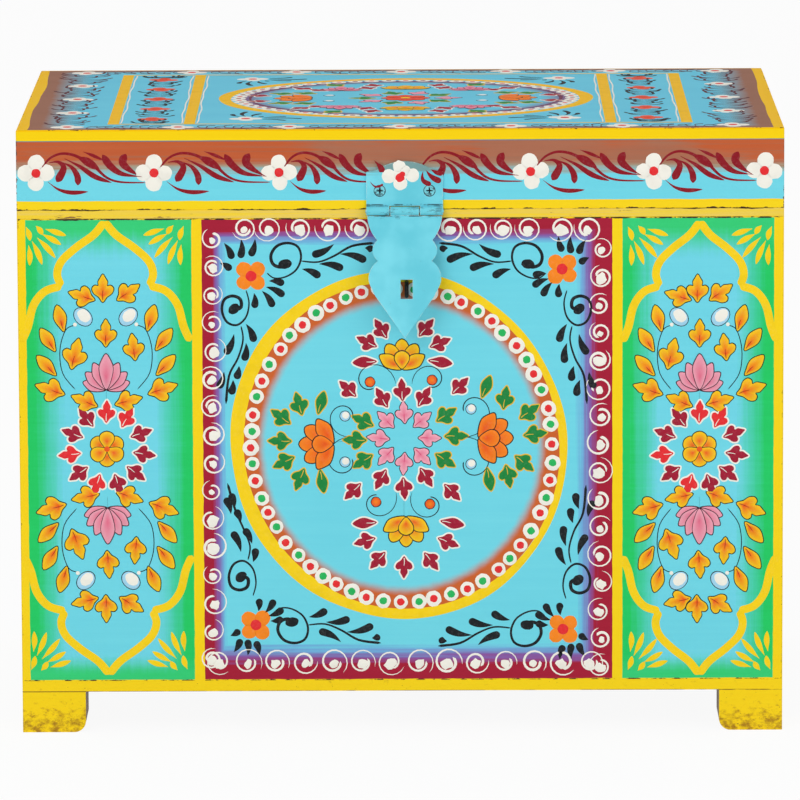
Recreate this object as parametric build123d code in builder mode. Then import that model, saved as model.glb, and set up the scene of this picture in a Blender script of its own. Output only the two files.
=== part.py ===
from build123d import *
import math
import os

os.makedirs("parts", exist_ok=True)

# Outside sizes, in millimetres
box_width = 457.0
box_depth = 305.0
foot_height = 24.8
body_height = 292.2
lid_height = 48.0

# Board thicknesses
wall_thickness = 9.0
bottom_thickness = 6.6
rim_thickness = 5.3
lid_top_thickness = 7.0
edge_wear = 0.6

# Feet
foot_size = 38.0
foot_corner_radius = 7.0

# Hasp, measured along the front
hasp_center_x = 2.6
hasp_plate_thickness = 1.5
hasp_plate_half_width = 22.8
hasp_plate_shoulder = 23.2
hasp_plate_arch = 29.6
hasp_screw_spacing = 29.6
hasp_screw_rise = 12.0
hasp_pin_drop = 0.8
hasp_pin_reach = 3.0
hasp_pin_radius = 1.2
hasp_knuckle_radius = 2.6
hasp_middle_knuckle_half = 8.8
hasp_strap_thickness = 1.5
hasp_strap_back = -1.0
hasp_tilt = 14.0
hasp_slot_top = 41.0
hasp_slot_bottom = 52.6
hasp_slot_half_width = 3.6
hasp_tip = 76.0
hasp_knuckle_gap = 0.3
hasp_slot_offset = 1.0
strap_shoulder = (22.2, -2.9)
strap_shoulder_low = (21.2, -9.0)
strap_cusp_high = (16.4, -17.4)
strap_small_bulge = (19.2, -23.4)
strap_cusp_low = (16.0, -30.0)
strap_large_bulge = ((20.6, -35.5), (21.5, -41.5), (19.2, -47.5), (17.6, -50.8))

# Staple, a bent rod through the front panel
staple_rod_radius = 1.25
staple_leg_spacing = 7.6
staple_nose = 11.0
staple_drop = 46.8
staple_clinch = 9.0

# Hinges at the back
hinge_inset = 93.5
hinge_width = 50.0
hinge_leaf_height = 25.0
hinge_leaf_thickness = 1.3
hinge_reach = 3.2
hinge_knuckle_radius = 2.9
hinge_pin_radius = 1.4
hinge_knuckle_count = 3
hinge_knuckle_gap = 0.4

# Fasteners
nail_radius = 0.8
nail_head_radius = 1.7
nail_head_depth = 1.0
nail_length = 22.0
carcass_nail_inset = 22.0
lid_nail_inset = 8.0
long_nail_inset = 23.5
short_nail_inset = 57.5
screw_radius = 1.5
screw_head_radius = 3.6
screw_head_depth = 1.9
short_screw_length = 8.4
foot_screw_length = 26.0
recess_length = 4.2
recess_width = 0.9
recess_depth = 0.9

# Clearances
pin_clearance = 0.05
fixed_clearance = 0.02

# Worked out from the sizes above
strap_front_reach = (
    hasp_pin_reach
    + hasp_tip * math.sin(math.radians(hasp_tilt))
    + (hasp_strap_back + hasp_strap_thickness) * math.cos(math.radians(hasp_tilt))
)
hinge_back_reach = hinge_reach + hinge_knuckle_radius
seam_height = foot_height + body_height
box_height = seam_height + lid_height
center_y = (strap_front_reach - hinge_back_reach) / 2
front_y = center_y - box_depth / 2
back_y = center_y + box_depth / 2
right_x = box_width / 2
bottom_top = foot_height + bottom_thickness
rim_bottom = seam_height - rim_thickness
wall_height = rim_bottom - bottom_top
lid_underside = box_height - lid_top_thickness
lid_wall_height = lid_underside - seam_height
side_depth = box_depth - 2 * wall_thickness
hasp_pin_y = front_y - hasp_pin_reach
hasp_pin_z = seam_height - hasp_pin_drop
hinge_y = back_y + hinge_reach
staple_z = hasp_pin_z - staple_drop
inner_front_y = front_y + wall_thickness


def save(part, name):
    part.label = name
    export_step(part, f"parts/{name}.step")


def spread(count, inset, low, high):
    """Places spaced evenly between two ends, kept in from each end."""
    step = (high - low - 2 * inset) / (count - 1)
    return [low + inset + step * i for i in range(count)]


# Nail places. Each is a point on the outer face with the way the nail goes in
wall_mid = wall_thickness / 2
edge_x = right_x - wall_mid
edge_front_y = front_y + wall_mid
edge_back_y = back_y - wall_mid


def corner_places(heights):
    places = []
    for z in heights:
        for side in (-1, 1):
            places.append(((side * edge_x, front_y, z), (0, 1, 0)))
            places.append(((side * edge_x, back_y, z), (0, -1, 0)))
    return places


def edge_places(z, way):
    """Nails all round, down or up into the edges of the four walls."""
    places = []
    for x in spread(5, long_nail_inset, -right_x, right_x):
        places.append(((x, edge_front_y, z), way))
        places.append(((x, edge_back_y, z), way))
    for y in spread(3, short_nail_inset, front_y, back_y):
        places.append(((-edge_x, y, z), way))
        places.append(((edge_x, y, z), way))
    return places


carcass_nail_places = corner_places(spread(4, carcass_nail_inset, bottom_top, rim_bottom))
lid_corner_nail_places = corner_places(spread(2, lid_nail_inset, seam_height, lid_underside))
bottom_nail_places = edge_places(foot_height, (0, 0, 1))
rim_nail_places = edge_places(seam_height, (0, 0, -1))
lid_top_nail_places = edge_places(box_height, (0, 0, -1))

# Screw places
hinge_centers = [-(right_x - hinge_inset), right_x - hinge_inset]
screw_offset = hinge_width / 2 - 9.0
hinge_screw_rise = 14.5
hinge_body_screw_places = []
hinge_lid_screw_places = []
for center in hinge_centers:
    for dx in (-screw_offset, 0.0, screw_offset):
        rise = hinge_screw_rise + (4.0 if dx == 0.0 else 0.0)
        y = back_y + hinge_leaf_thickness
        hinge_body_screw_places.append(((center + dx, y, seam_height - rise), (0, -1, 0)))
        hinge_lid_screw_places.append(((center + dx, y, seam_height + rise), (0, -1, 0)))

hasp_screw_places = []
for side in (-1, 1):
    x = hasp_center_x + side * hasp_screw_spacing / 2
    y = front_y - hasp_plate_thickness
    hasp_screw_places.append(((x, y, hasp_pin_z + hasp_screw_rise), (0, 1, 0)))

foot_screw_places = []
foot_inset = foot_size / 2
for sx in (-1, 1):
    for sy in (-1, 1):
        corner_x = sx * (right_x - foot_inset)
        corner_y = center_y + sy * (box_depth / 2 - foot_inset)
        for shift in (-1, 1):
            x = corner_x - sx * 4.0 + shift * 6.5
            y = corner_y - sy * 4.0 - shift * sx * sy * 6.5
            foot_screw_places.append(((x, y, bottom_top), (0, 0, -1)))


def into_board(place):
    point, way = place
    return Plane(origin=point, z_dir=way)


def nail_solid(place, extra):
    plane = into_board(place)
    with BuildPart(mode=Mode.PRIVATE) as nail:
        with BuildSketch(plane):
            Circle(nail_radius + extra)
        extrude(amount=nail_length + extra)
        with BuildSketch(plane):
            Circle(nail_head_radius + extra)
        extrude(amount=nail_head_depth)
    return nail.part


def screw_solid(place, extra, length):
    plane = into_board(place)
    with BuildPart(mode=Mode.PRIVATE) as screw:
        with BuildSketch(plane):
            Circle(screw_radius + extra)
        extrude(amount=length + extra)
        with BuildSketch(plane):
            Circle(screw_head_radius + extra)
        with BuildSketch(plane.offset(screw_head_depth)):
            Circle(screw_radius + extra)
        loft()
    return screw.part


def recess_solid(place):
    plane = into_board(place)
    with BuildPart(mode=Mode.PRIVATE) as recess:
        with BuildSketch(plane):
            Rectangle(recess_length, recess_width)
            Rectangle(recess_width, recess_length)
        extrude(amount=recess_depth)
    return recess.part


def board(size, center):
    with BuildPart(mode=Mode.PRIVATE) as plank:
        with Locations(center):
            Box(*size)
    return plank.part


# Nails in the corners of the body
with BuildPart() as carcass_nails:
    for place in carcass_nail_places:
        add(nail_solid(place, 0))
save(carcass_nails.part, "carcass_nails")

# Nails up through the bottom board into the walls
with BuildPart() as bottom_nails:
    for place in bottom_nail_places:
        add(nail_solid(place, 0))
save(bottom_nails.part, "bottom_nails")

# Nails down through the rim laths into the walls
with BuildPart() as rim_nails:
    for place in rim_nail_places:
        add(nail_solid(place, 0))
save(rim_nails.part, "rim_nails")

# Nails in the corners of the lid
with BuildPart() as lid_corner_nails:
    for place in lid_corner_nail_places:
        add(nail_solid(place, 0))
save(lid_corner_nails.part, "lid_corner_nails")

# Nails down through the lid top
with BuildPart() as lid_top_nails:
    for place in lid_top_nail_places:
        add(nail_solid(place, 0))
save(lid_top_nails.part, "lid_top_nails")

# Screws of the feet, driven from inside the box
with BuildPart() as foot_screws:
    for place in foot_screw_places:
        add(screw_solid(place, 0, foot_screw_length))
    for place in foot_screw_places:
        add(recess_solid(place), mode=Mode.SUBTRACT)
save(foot_screws.part, "foot_screws")

# Screws of the hinges
with BuildPart() as hinge_body_screws:
    for place in hinge_body_screw_places:
        add(screw_solid(place, 0, short_screw_length))
    for place in hinge_body_screw_places:
        add(recess_solid(place), mode=Mode.SUBTRACT)
save(hinge_body_screws.part, "hinge_body_screws")

with BuildPart() as hinge_lid_screws:
    for place in hinge_lid_screw_places:
        add(screw_solid(place, 0, short_screw_length))
    for place in hinge_lid_screw_places:
        add(recess_solid(place), mode=Mode.SUBTRACT)
save(hinge_lid_screws.part, "hinge_lid_screws")

# Screws of the hasp plate
with BuildPart() as hasp_screws:
    for place in hasp_screw_places:
        add(screw_solid(place, 0, short_screw_length))
    for place in hasp_screw_places:
        add(recess_solid(place), mode=Mode.SUBTRACT)
save(hasp_screws.part, "hasp_screws")


def staple_path():
    half = staple_leg_spacing / 2
    inner_y = inner_front_y + staple_rod_radius + 0.15
    bend = 2.2
    low = staple_z - half
    high = staple_z + half
    arc_y = front_y - staple_nose + staple_rod_radius + half
    with BuildLine() as path:
        Line((0, inner_y, high + bend + staple_clinch), (0, inner_y, high + bend))
        top_bend = (0, inner_y - bend * (1 - math.sqrt(0.5)), high + bend * (1 - math.sqrt(0.5)))
        ThreePointArc((0, inner_y, high + bend), top_bend, (0, inner_y - bend, high))
        Line((0, inner_y - bend, high), (0, arc_y, high))
        ThreePointArc((0, arc_y, high), (0, arc_y - half, staple_z), (0, arc_y, low))
        Line((0, arc_y, low), (0, inner_y - bend, low))
        low_bend = (0, inner_y - bend * (1 - math.sqrt(0.5)), low - bend * (1 - math.sqrt(0.5)))
        ThreePointArc((0, inner_y - bend, low), low_bend, (0, inner_y, low - bend))
        Line((0, inner_y, low - bend), (0, inner_y, low - bend - staple_clinch))
    return path.line


# Staple
with BuildPart() as hasp_staple:
    path = staple_path()
    with BuildSketch(Plane(origin=path @ 0, z_dir=path % 0)):
        Circle(staple_rod_radius)
    sweep(path=path)
hasp_staple_part = hasp_staple.part.moved(Location((hasp_center_x + hasp_slot_offset, 0, 0)))
save(hasp_staple_part, "hasp_staple")

# Holes for the staple's legs, with room for the bends behind the panel
with BuildPart() as staple_holes:
    for side in (-1, 1):
        leg_z = staple_z + side * staple_leg_spacing / 2
        leg_start = (hasp_center_x + hasp_slot_offset, front_y - 1, leg_z)
        with BuildSketch(Plane(origin=leg_start, z_dir=(0, 1, 0))):
            Circle(staple_rod_radius + fixed_clearance)
        extrude(amount=wall_thickness + 2)
        with Locations((hasp_center_x + hasp_slot_offset, inner_front_y - 1.25, leg_z + side * 1.9)):
            Box(2 * staple_rod_radius + 0.1, 2.5, 2 * staple_rod_radius + 3.9)

# Front panel
with BuildPart() as front_panel:
    add(board((box_width, wall_thickness, wall_height),
              (0, front_y + wall_mid, bottom_top + wall_height / 2)))
    chamfer(front_panel.edges().filter_by(Axis.Z).group_by(Axis.Y)[0], edge_wear)
    for place in carcass_nail_places + bottom_nail_places + rim_nail_places:
        add(nail_solid(place, fixed_clearance), mode=Mode.SUBTRACT)
    add(staple_holes.part, mode=Mode.SUBTRACT)
save(front_panel.part, "front_panel")

# Back panel
with BuildPart() as back_panel:
    add(board((box_width, wall_thickness, wall_height),
              (0, back_y - wall_mid, bottom_top + wall_height / 2)))
    chamfer(back_panel.edges().filter_by(Axis.Z).group_by(Axis.Y)[-1], edge_wear)
    for place in carcass_nail_places + bottom_nail_places + rim_nail_places:
        add(nail_solid(place, fixed_clearance), mode=Mode.SUBTRACT)
    for place in hinge_body_screw_places:
        add(screw_solid(place, fixed_clearance, short_screw_length), mode=Mode.SUBTRACT)
save(back_panel.part, "back_panel")

# Side panels, between the front and the back
for name, side in (("left_panel", -1), ("right_panel", 1)):
    with BuildPart() as side_panel:
        add(board((wall_thickness, side_depth, wall_height),
                  (side * (right_x - wall_mid), center_y, bottom_top + wall_height / 2)))
        for place in carcass_nail_places + bottom_nail_places + rim_nail_places:
            add(nail_solid(place, fixed_clearance), mode=Mode.SUBTRACT)
    save(side_panel.part, name)

# Bottom board, under the walls
with BuildPart() as bottom_panel:
    add(board((box_width, box_depth, bottom_thickness),
              (0, center_y, foot_height + bottom_thickness / 2)))
    chamfer(bottom_panel.edges().filter_by(Axis.Z), edge_wear)
    for place in bottom_nail_places:
        add(nail_solid(place, fixed_clearance), mode=Mode.SUBTRACT)
    for place in foot_screw_places:
        add(screw_solid(place, fixed_clearance, foot_screw_length), mode=Mode.SUBTRACT)
save(bottom_panel.part, "bottom_panel")

# Rim laths on top of the walls
rim_z = rim_bottom + rim_thickness / 2
for name, y, group in (("rim_front", front_y + wall_mid, 0), ("rim_back", back_y - wall_mid, -1)):
    with BuildPart() as rim_lath:
        add(board((box_width, wall_thickness, rim_thickness), (0, y, rim_z)))
        chamfer(rim_lath.edges().filter_by(Axis.Z).group_by(Axis.Y)[group], edge_wear)
        outer_face = rim_lath.faces().sort_by(Axis.Y)[group]
        chamfer(outer_face.edges().filter_by(Axis.X), edge_wear / 2)
        for place in rim_nail_places:
            add(nail_solid(place, fixed_clearance), mode=Mode.SUBTRACT)
    save(rim_lath.part, name)

for name, side in (("rim_left", -1), ("rim_right", 1)):
    with BuildPart() as rim_lath:
        add(board((wall_thickness, side_depth, rim_thickness),
                  (side * (right_x - wall_mid), center_y, rim_z)))
        for place in rim_nail_places:
            add(nail_solid(place, fixed_clearance), mode=Mode.SUBTRACT)
    save(rim_lath.part, name)

# Feet, blocks with rounded lower inner edges
foot_names = (("foot_front_left", -1, -1), ("foot_front_right", 1, -1),
              ("foot_back_left", -1, 1), ("foot_back_right", 1, 1))
for name, sx, sy in foot_names:
    foot_x = sx * (right_x - foot_inset)
    foot_y = center_y + sy * (box_depth / 2 - foot_inset)
    with BuildPart() as foot:
        add(board((foot_size, foot_size, foot_height), (foot_x, foot_y, foot_height / 2)))
        low_edges = foot.edges().group_by(Axis.Z)[0]
        inner_x_edge = low_edges.filter_by(Axis.Y).sort_by(Axis.X)[0 if sx > 0 else -1]
        inner_y_edge = low_edges.filter_by(Axis.X).sort_by(Axis.Y)[0 if sy > 0 else -1]
        fillet([inner_x_edge, inner_y_edge], foot_corner_radius)
        outer_z_edge = foot.edges().filter_by(Axis.Z).sort_by(
            lambda e: -sx * e.center().X - sy * e.center().Y)[0]
        chamfer(outer_z_edge, edge_wear)
        for place in foot_screw_places:
            add(screw_solid(place, fixed_clearance, foot_screw_length), mode=Mode.SUBTRACT)
    save(foot.part, name)

# Lid walls
lid_z = seam_height + lid_wall_height / 2
with BuildPart() as lid_front:
    add(board((box_width, wall_thickness, lid_wall_height), (0, front_y + wall_mid, lid_z)))
    chamfer(lid_front.edges().filter_by(Axis.Z).group_by(Axis.Y)[0], edge_wear)
    low_front_edge = lid_front.edges().filter_by(Axis.X).group_by(Axis.Z)[0].sort_by(Axis.Y)[0]
    chamfer(low_front_edge, edge_wear / 2)
    for place in lid_corner_nail_places + lid_top_nail_places:
        add(nail_solid(place, fixed_clearance), mode=Mode.SUBTRACT)
    for place in hasp_screw_places:
        add(screw_solid(place, fixed_clearance, short_screw_length), mode=Mode.SUBTRACT)
save(lid_front.part, "lid_front")

with BuildPart() as lid_back:
    add(board((box_width, wall_thickness, lid_wall_height), (0, back_y - wall_mid, lid_z)))
    chamfer(lid_back.edges().filter_by(Axis.Z).group_by(Axis.Y)[-1], edge_wear)
    for place in lid_corner_nail_places + lid_top_nail_places:
        add(nail_solid(place, fixed_clearance), mode=Mode.SUBTRACT)
    for place in hinge_lid_screw_places:
        add(screw_solid(place, fixed_clearance, short_screw_length), mode=Mode.SUBTRACT)
save(lid_back.part, "lid_back")

for name, side in (("lid_left", -1), ("lid_right", 1)):
    with BuildPart() as lid_side:
        add(board((wall_thickness, side_depth, lid_wall_height),
                  (side * (right_x - wall_mid), center_y, lid_z)))
        for place in lid_corner_nail_places + lid_top_nail_places:
            add(nail_solid(place, fixed_clearance), mode=Mode.SUBTRACT)
    save(lid_side.part, name)

# Lid top board
with BuildPart() as lid_top:
    add(board((box_width, box_depth, lid_top_thickness),
              (0, center_y, lid_underside + lid_top_thickness / 2)))
    chamfer(lid_top.edges().filter_by(Axis.Z), edge_wear)
    chamfer(lid_top.faces().sort_by(Axis.Z)[-1].edges(), edge_wear)
    for place in lid_top_nail_places:
        add(nail_solid(place, fixed_clearance), mode=Mode.SUBTRACT)
save(lid_top.part, "lid_top")

# Hinges: the leaves share three knuckles on one pin
knuckle_length = hinge_width / hinge_knuckle_count
for name, center in zip(("left", "right"), hinge_centers):
    knuckle_starts = [center - hinge_width / 2 + i * knuckle_length for i in range(hinge_knuckle_count)]
    for leaf_name, way, own in (("body", -1, (0, 2)), ("lid", 1, (1,))):
        with BuildPart() as leaf:
            leaf_center = (center, back_y + hinge_leaf_thickness / 2,
                           seam_height + way * hinge_leaf_height / 2)
            add(board((hinge_width, hinge_leaf_thickness, hinge_leaf_height), leaf_center))
            for i, start in enumerate(knuckle_starts):
                middle = start + knuckle_length / 2
                if i in own:
                    with BuildSketch(Plane(origin=(start + hinge_knuckle_gap / 2, hinge_y, seam_height),
                                           z_dir=(1, 0, 0))):
                        Circle(hinge_knuckle_radius)
                    extrude(amount=knuckle_length - hinge_knuckle_gap)
                else:
                    with Locations((middle, hinge_y, seam_height)):
                        Box(knuckle_length + hinge_knuckle_gap, 2 * hinge_reach + 1,
                            2 * (hinge_knuckle_radius + hinge_knuckle_gap), mode=Mode.SUBTRACT)
            with BuildSketch(Plane(origin=(center - hinge_width / 2 - 1, hinge_y, seam_height),
                                   z_dir=(1, 0, 0))):
                Circle(hinge_pin_radius + (pin_clearance if leaf_name == "lid" else fixed_clearance))
            extrude(amount=hinge_width + 2, mode=Mode.SUBTRACT)
            places = hinge_body_screw_places if leaf_name == "body" else hinge_lid_screw_places
            for place in places:
                if abs(place[0][0] - center) < hinge_width:
                    add(screw_solid(place, fixed_clearance, short_screw_length), mode=Mode.SUBTRACT)
        save(leaf.part, f"{name}_hinge_{leaf_name}_leaf")
    with BuildPart() as pin:
        with BuildSketch(Plane(origin=(center - hinge_width / 2 - 0.8, hinge_y, seam_height),
                               z_dir=(1, 0, 0))):
            Circle(hinge_pin_radius)
        extrude(amount=hinge_width + 1.6)
    save(pin.part, f"{name}_hinge_pin")

# Hasp plate outline, as offsets from the hasp's centre and heights over the pin
plate_half = hasp_plate_half_width
plate_outline = [
    (hasp_middle_knuckle_half + hasp_knuckle_gap, hasp_knuckle_radius + hasp_knuckle_gap),
    (hasp_middle_knuckle_half + hasp_knuckle_gap, 0.0),
    (plate_half, 0.0),
    (plate_half, hasp_plate_shoulder),
]
with BuildPart() as hasp_plate:
    plate_plane = Plane(origin=(hasp_center_x, front_y, hasp_pin_z), x_dir=(1, 0, 0), z_dir=(0, -1, 0))
    with BuildSketch(plate_plane):
        with BuildLine():
            right = [Vector(x, z) for x, z in plate_outline]
            left = [Vector(-x, z) for x, z in plate_outline]
            Polyline(*right)
            cusp_right = (plate_half - 6.5, hasp_plate_shoulder + 1.4)
            cusp_left = (-plate_half + 6.5, hasp_plate_shoulder + 1.4)
            Line(right[-1], cusp_right)
            ThreePointArc(cusp_right, (0, hasp_plate_arch), cusp_left)
            Line(cusp_left, left[-1])
            Polyline(*reversed(left))
            Line(left[0], right[0])
        make_face()
    extrude(amount=hasp_plate_thickness)
    for side in (-1, 1):
        start = hasp_middle_knuckle_half + hasp_knuckle_gap
        first = hasp_center_x + (start if side > 0 else -plate_half)
        with BuildSketch(Plane(origin=(first, hasp_pin_y, hasp_pin_z), z_dir=(1, 0, 0))):
            Circle(hasp_knuckle_radius)
        extrude(amount=plate_half - start)
    with BuildSketch(Plane(origin=(hasp_center_x - plate_half - 1, hasp_pin_y, hasp_pin_z),
                           z_dir=(1, 0, 0))):
        Circle(hasp_pin_radius + fixed_clearance)
    extrude(amount=2 * plate_half + 2, mode=Mode.SUBTRACT)
    for place in hasp_screw_places:
        add(screw_solid(place, fixed_clearance, short_screw_length), mode=Mode.SUBTRACT)
save(hasp_plate.part, "hasp_plate")

# Hasp pin
with BuildPart() as hasp_pin:
    with BuildSketch(Plane(origin=(hasp_center_x - plate_half - 0.5, hasp_pin_y, hasp_pin_z),
                           z_dir=(1, 0, 0))):
        Circle(hasp_pin_radius)
    extrude(amount=2 * plate_half + 1.0)
save(hasp_pin.part, "hasp_pin")

# Hasp strap, drawn flat below the pin and then tilted outward
shoulder_gap = hasp_knuckle_radius + hasp_knuckle_gap
middle_half = hasp_middle_knuckle_half - hasp_knuckle_gap
strap_plane = Plane(origin=(hasp_center_x, hasp_pin_y - hasp_strap_back, hasp_pin_z),
                    x_dir=(1, 0, 0), z_dir=(0, -1, 0))
with BuildPart() as strap_flat:
    with BuildSketch(strap_plane):
        with BuildLine():
            Line((middle_half, 0), (middle_half, -shoulder_gap))
            Line((middle_half, -shoulder_gap), (strap_shoulder[0], -shoulder_gap))
            Spline((strap_shoulder[0], -shoulder_gap), strap_shoulder_low, strap_cusp_high)
            Spline(strap_cusp_high, strap_small_bulge, strap_cusp_low)
            Spline(strap_cusp_low, *strap_large_bulge)
            Line(strap_large_bulge[-1], (0, -hasp_tip))
            mirror(about=Plane.YZ)
            Line((-middle_half, 0), (middle_half, 0))
        make_face()
    extrude(amount=hasp_strap_thickness)
    with BuildSketch(Plane(origin=(hasp_center_x - middle_half, hasp_pin_y, hasp_pin_z),
                           z_dir=(1, 0, 0))):
        Circle(hasp_knuckle_radius)
    extrude(amount=2 * middle_half)
    with BuildSketch(Plane(origin=(hasp_center_x - middle_half - 1, hasp_pin_y, hasp_pin_z),
                           z_dir=(1, 0, 0))):
        Circle(hasp_pin_radius + pin_clearance)
    extrude(amount=2 * middle_half + 2, mode=Mode.SUBTRACT)
    slot_middle = -(hasp_slot_top + hasp_slot_bottom) / 2
    with BuildSketch(strap_plane.offset(-1)):
        with Locations((hasp_slot_offset, slot_middle)):
            Rectangle(2 * hasp_slot_half_width, hasp_slot_bottom - hasp_slot_top)
    extrude(amount=hasp_strap_thickness + 2, mode=Mode.SUBTRACT)
pin_axis = Axis((hasp_center_x, hasp_pin_y, hasp_pin_z), (1, 0, 0))
strap_tilted = strap_flat.part.rotate(pin_axis, -hasp_tilt)
save(strap_tilted, "hasp_strap")
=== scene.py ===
import math
import random
from functools import partial, reduce

import bpy
from mathutils import Matrix, Vector


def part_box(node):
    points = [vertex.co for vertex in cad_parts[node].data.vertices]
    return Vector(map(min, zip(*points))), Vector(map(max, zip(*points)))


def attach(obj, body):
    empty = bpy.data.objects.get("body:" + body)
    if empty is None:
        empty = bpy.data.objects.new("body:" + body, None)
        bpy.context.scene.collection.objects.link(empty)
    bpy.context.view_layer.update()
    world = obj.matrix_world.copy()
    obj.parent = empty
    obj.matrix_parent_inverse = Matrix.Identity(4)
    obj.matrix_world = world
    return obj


bl_info = {
    "name": "Painted storage box",
    "version": (1, 0, 0),
    "blender": (4, 5, 0),
    "location": "View3D > Sidebar > Painted box",
    "description": "Paint, ornament, hardware finishes and stage for the painted storage box",
    "category": "Object",
}

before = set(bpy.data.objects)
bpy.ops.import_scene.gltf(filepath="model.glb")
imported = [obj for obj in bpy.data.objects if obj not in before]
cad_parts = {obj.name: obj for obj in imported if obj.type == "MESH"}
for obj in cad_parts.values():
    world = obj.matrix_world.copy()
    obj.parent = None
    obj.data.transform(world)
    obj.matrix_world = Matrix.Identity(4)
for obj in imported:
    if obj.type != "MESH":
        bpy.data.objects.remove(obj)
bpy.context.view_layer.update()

# Millimetres to metres
MM = 0.001
# The photograph's camera, in millimetres and degrees, in the part's frame
CAMERA_SPOT = (14.0, -4589.4, 920.8)
CAMERA_PITCH = 9.188
CAMERA_YAW = -0.189
CAMERA_ROLL = -0.245
CAMERA_FOCAL = 7532.0
PHOTO_MIDDLE = 400.0
SENSOR_WIDTH = 36.0
# A coat of paint stands this high, and each coat over it adds a step
COAT = 0.09
COAT_STEP = 0.06
# Width of the rounded rim of a painted shape
RIM_WIDTH = 0.3
# Strokes that cross lie at slightly different heights
STROKE_LIFT = 0.005

# Paint colours as seen, red green blue from 0 to 255
TURQUOISE = (112, 218, 236)
YELLOW = (255, 216, 20)
GREEN = (32, 204, 100)
MAROON = (165, 25, 52)
PURPLE = (132, 92, 168)
SKY = (112, 172, 222)
TERRACOTTA = (192, 92, 52)
LID_TOP_TURQUOISE = (106, 206, 234)
LID_TOP_BROWN = (150, 100, 78)
LID_TOP_YELLOW = (255, 198, 10)
LID_TOP_DARK = (84, 22, 34)
DARK_RED = (142, 14, 30)
WHITE = (250, 247, 236)
RED = (236, 45, 50)
DOT_GREEN = (40, 186, 95)
ORANGE = (255, 140, 30)
LOTUS_ORANGE = (250, 112, 28)
LEAF_YELLOW = (255, 208, 24)
LEAF_ORANGE = (242, 92, 30)
PINK = (246, 160, 180)
DEEP_PINK = (222, 80, 120)
LEAF_GREEN = (25, 135, 62)
LEAF_EDGE = (236, 190, 60)
BLACK = (18, 24, 28)
PEARL_BLUE = (166, 220, 246)
LOTUS_TIP = (255, 136, 30)
BAR_FLOWER = (240, 90, 58)
BAR_FLOWER_HEART = (228, 62, 44)
BAR_END_YELLOW = (252, 214, 104)
OVAL_PETAL_TIP = (244, 92, 40)
OVAL_LINE = (110, 40, 70)
PURE_WHITE = (255, 255, 255)
PALE_FIBRE = (206, 160, 106)
RIM_SHADOW = (48, 34, 30)
PANEL_SEA_GREEN = (70, 210, 170)
PANEL_END_GREEN = (52, 208, 120)
RING_GROUND = (206, 98, 44)
LID_WALL_GREY = (165, 152, 130)
LID_WALL_RED = (196, 92, 48)
LID_WALL_DRAG = (142, 112, 92)
LID_WALL_PATCH = (150, 118, 98)
OVAL_SHADE = (126, 74, 120)
LID_EDGE_BLUE = (96, 132, 150)
RIM_YELLOW = (250, 214, 50)
RIM_PALE = (236, 208, 112)
# Painted shade at the gap between lid and body
RIM_GAP_SHADE = (66, 46, 34)
BASE_STAIN = (140, 84, 30)
BASE_SPECK = (92, 56, 26)
BASE_SEAM = (110, 72, 30)
UNDERSIDE_DARK = (46, 30, 20)
MOTIF_SHADE = (60, 40, 30)
HASP_BLUE = (104, 208, 226)
HASP_LIGHT = (128, 226, 242)
HASP_DUST = (126, 140, 130)
HASP_GRIME = (62, 84, 96)
KNUCKLE_GAP_SHADE = (44, 60, 68)
HASP_EDGE_WEAR_AND_HIGHLIGHT = (226, 236, 226)
SCREW_BLUE = (126, 214, 226)
SCREW_GRIME = (74, 96, 104)
SCREW_RIM_SHADE = (40, 58, 66)
SCREW_RECESS_SHADE = (22, 26, 30)
RUST = (92, 54, 34)
STAPLE_BLACK = (18, 18, 20)
STAPLE_GREY = (58, 54, 50)
HINGE_STEEL = (120, 112, 98)
FASTENER_STEEL = (150, 146, 138)
BOUQUET_PINK = (236, 118, 150)
BOUQUET_PINK_TIP = (250, 178, 196)
SIDE_LOTUS = (240, 88, 24)
SIDE_LOTUS_TIP = (255, 138, 30)
WARM_LEAF = (244, 76, 26)
WARM_VEIN = (120, 40, 20)
ARCH_LOTUS = (232, 110, 140)
ARCH_LOTUS_TIP = (244, 168, 186)
ARCH_LOTUS_EDGE = (60, 26, 40)
WOOD = (150, 104, 62)
DARK_WOOD = (72, 46, 30)


def linear(color):
    """A seen colour as Blender's linear colour."""
    shares = [part / 255.0 for part in color]
    return (*(share / 12.92 if share <= 0.04045 else ((share + 0.055) / 1.055) ** 2.4
              for share in shares), 1.0)


# Places on the box, in millimetres, read from the CAD nodes
def node_low(node):
    return [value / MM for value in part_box(node)[0]]


def node_high(node):
    return [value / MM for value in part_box(node)[1]]


FRONT_Y = node_low("front_panel")[1]
BACK_Y = node_high("back_panel")[1]
RIGHT_X = node_high("right_panel")[0]
LEFT_X = -RIGHT_X
PANEL_LOW = node_low("front_panel")[2]
PANEL_HIGH = node_high("front_panel")[2]
SEAM_Z = node_high("rim_front")[2]
LID_LOW = node_low("lid_front")[2]
LID_HIGH = node_high("lid_front")[2]
TOP_Z = node_high("lid_top")[2]
MIDDLE_Y = (FRONT_Y + BACK_Y) / 2
HASP_PIN_Z = SEAM_Z - 0.8
HASP_PLATE_Y = FRONT_Y - 1.5
SCREW_HEAD = 3.6


def camera_axes():
    pitch, yaw, roll = (math.radians(v) for v in (CAMERA_PITCH, CAMERA_YAW, CAMERA_ROLL))
    ahead = Vector((math.sin(yaw) * math.cos(pitch), math.cos(yaw) * math.cos(pitch), -math.sin(pitch)))
    side = Vector((math.cos(yaw), -math.sin(yaw), 0.0))
    up = side.cross(ahead)
    across = side * math.cos(roll) + up * math.sin(roll)
    over = up * math.cos(roll) - side * math.sin(roll)
    return ahead, across, over


AHEAD, ACROSS, OVER = camera_axes()


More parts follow.
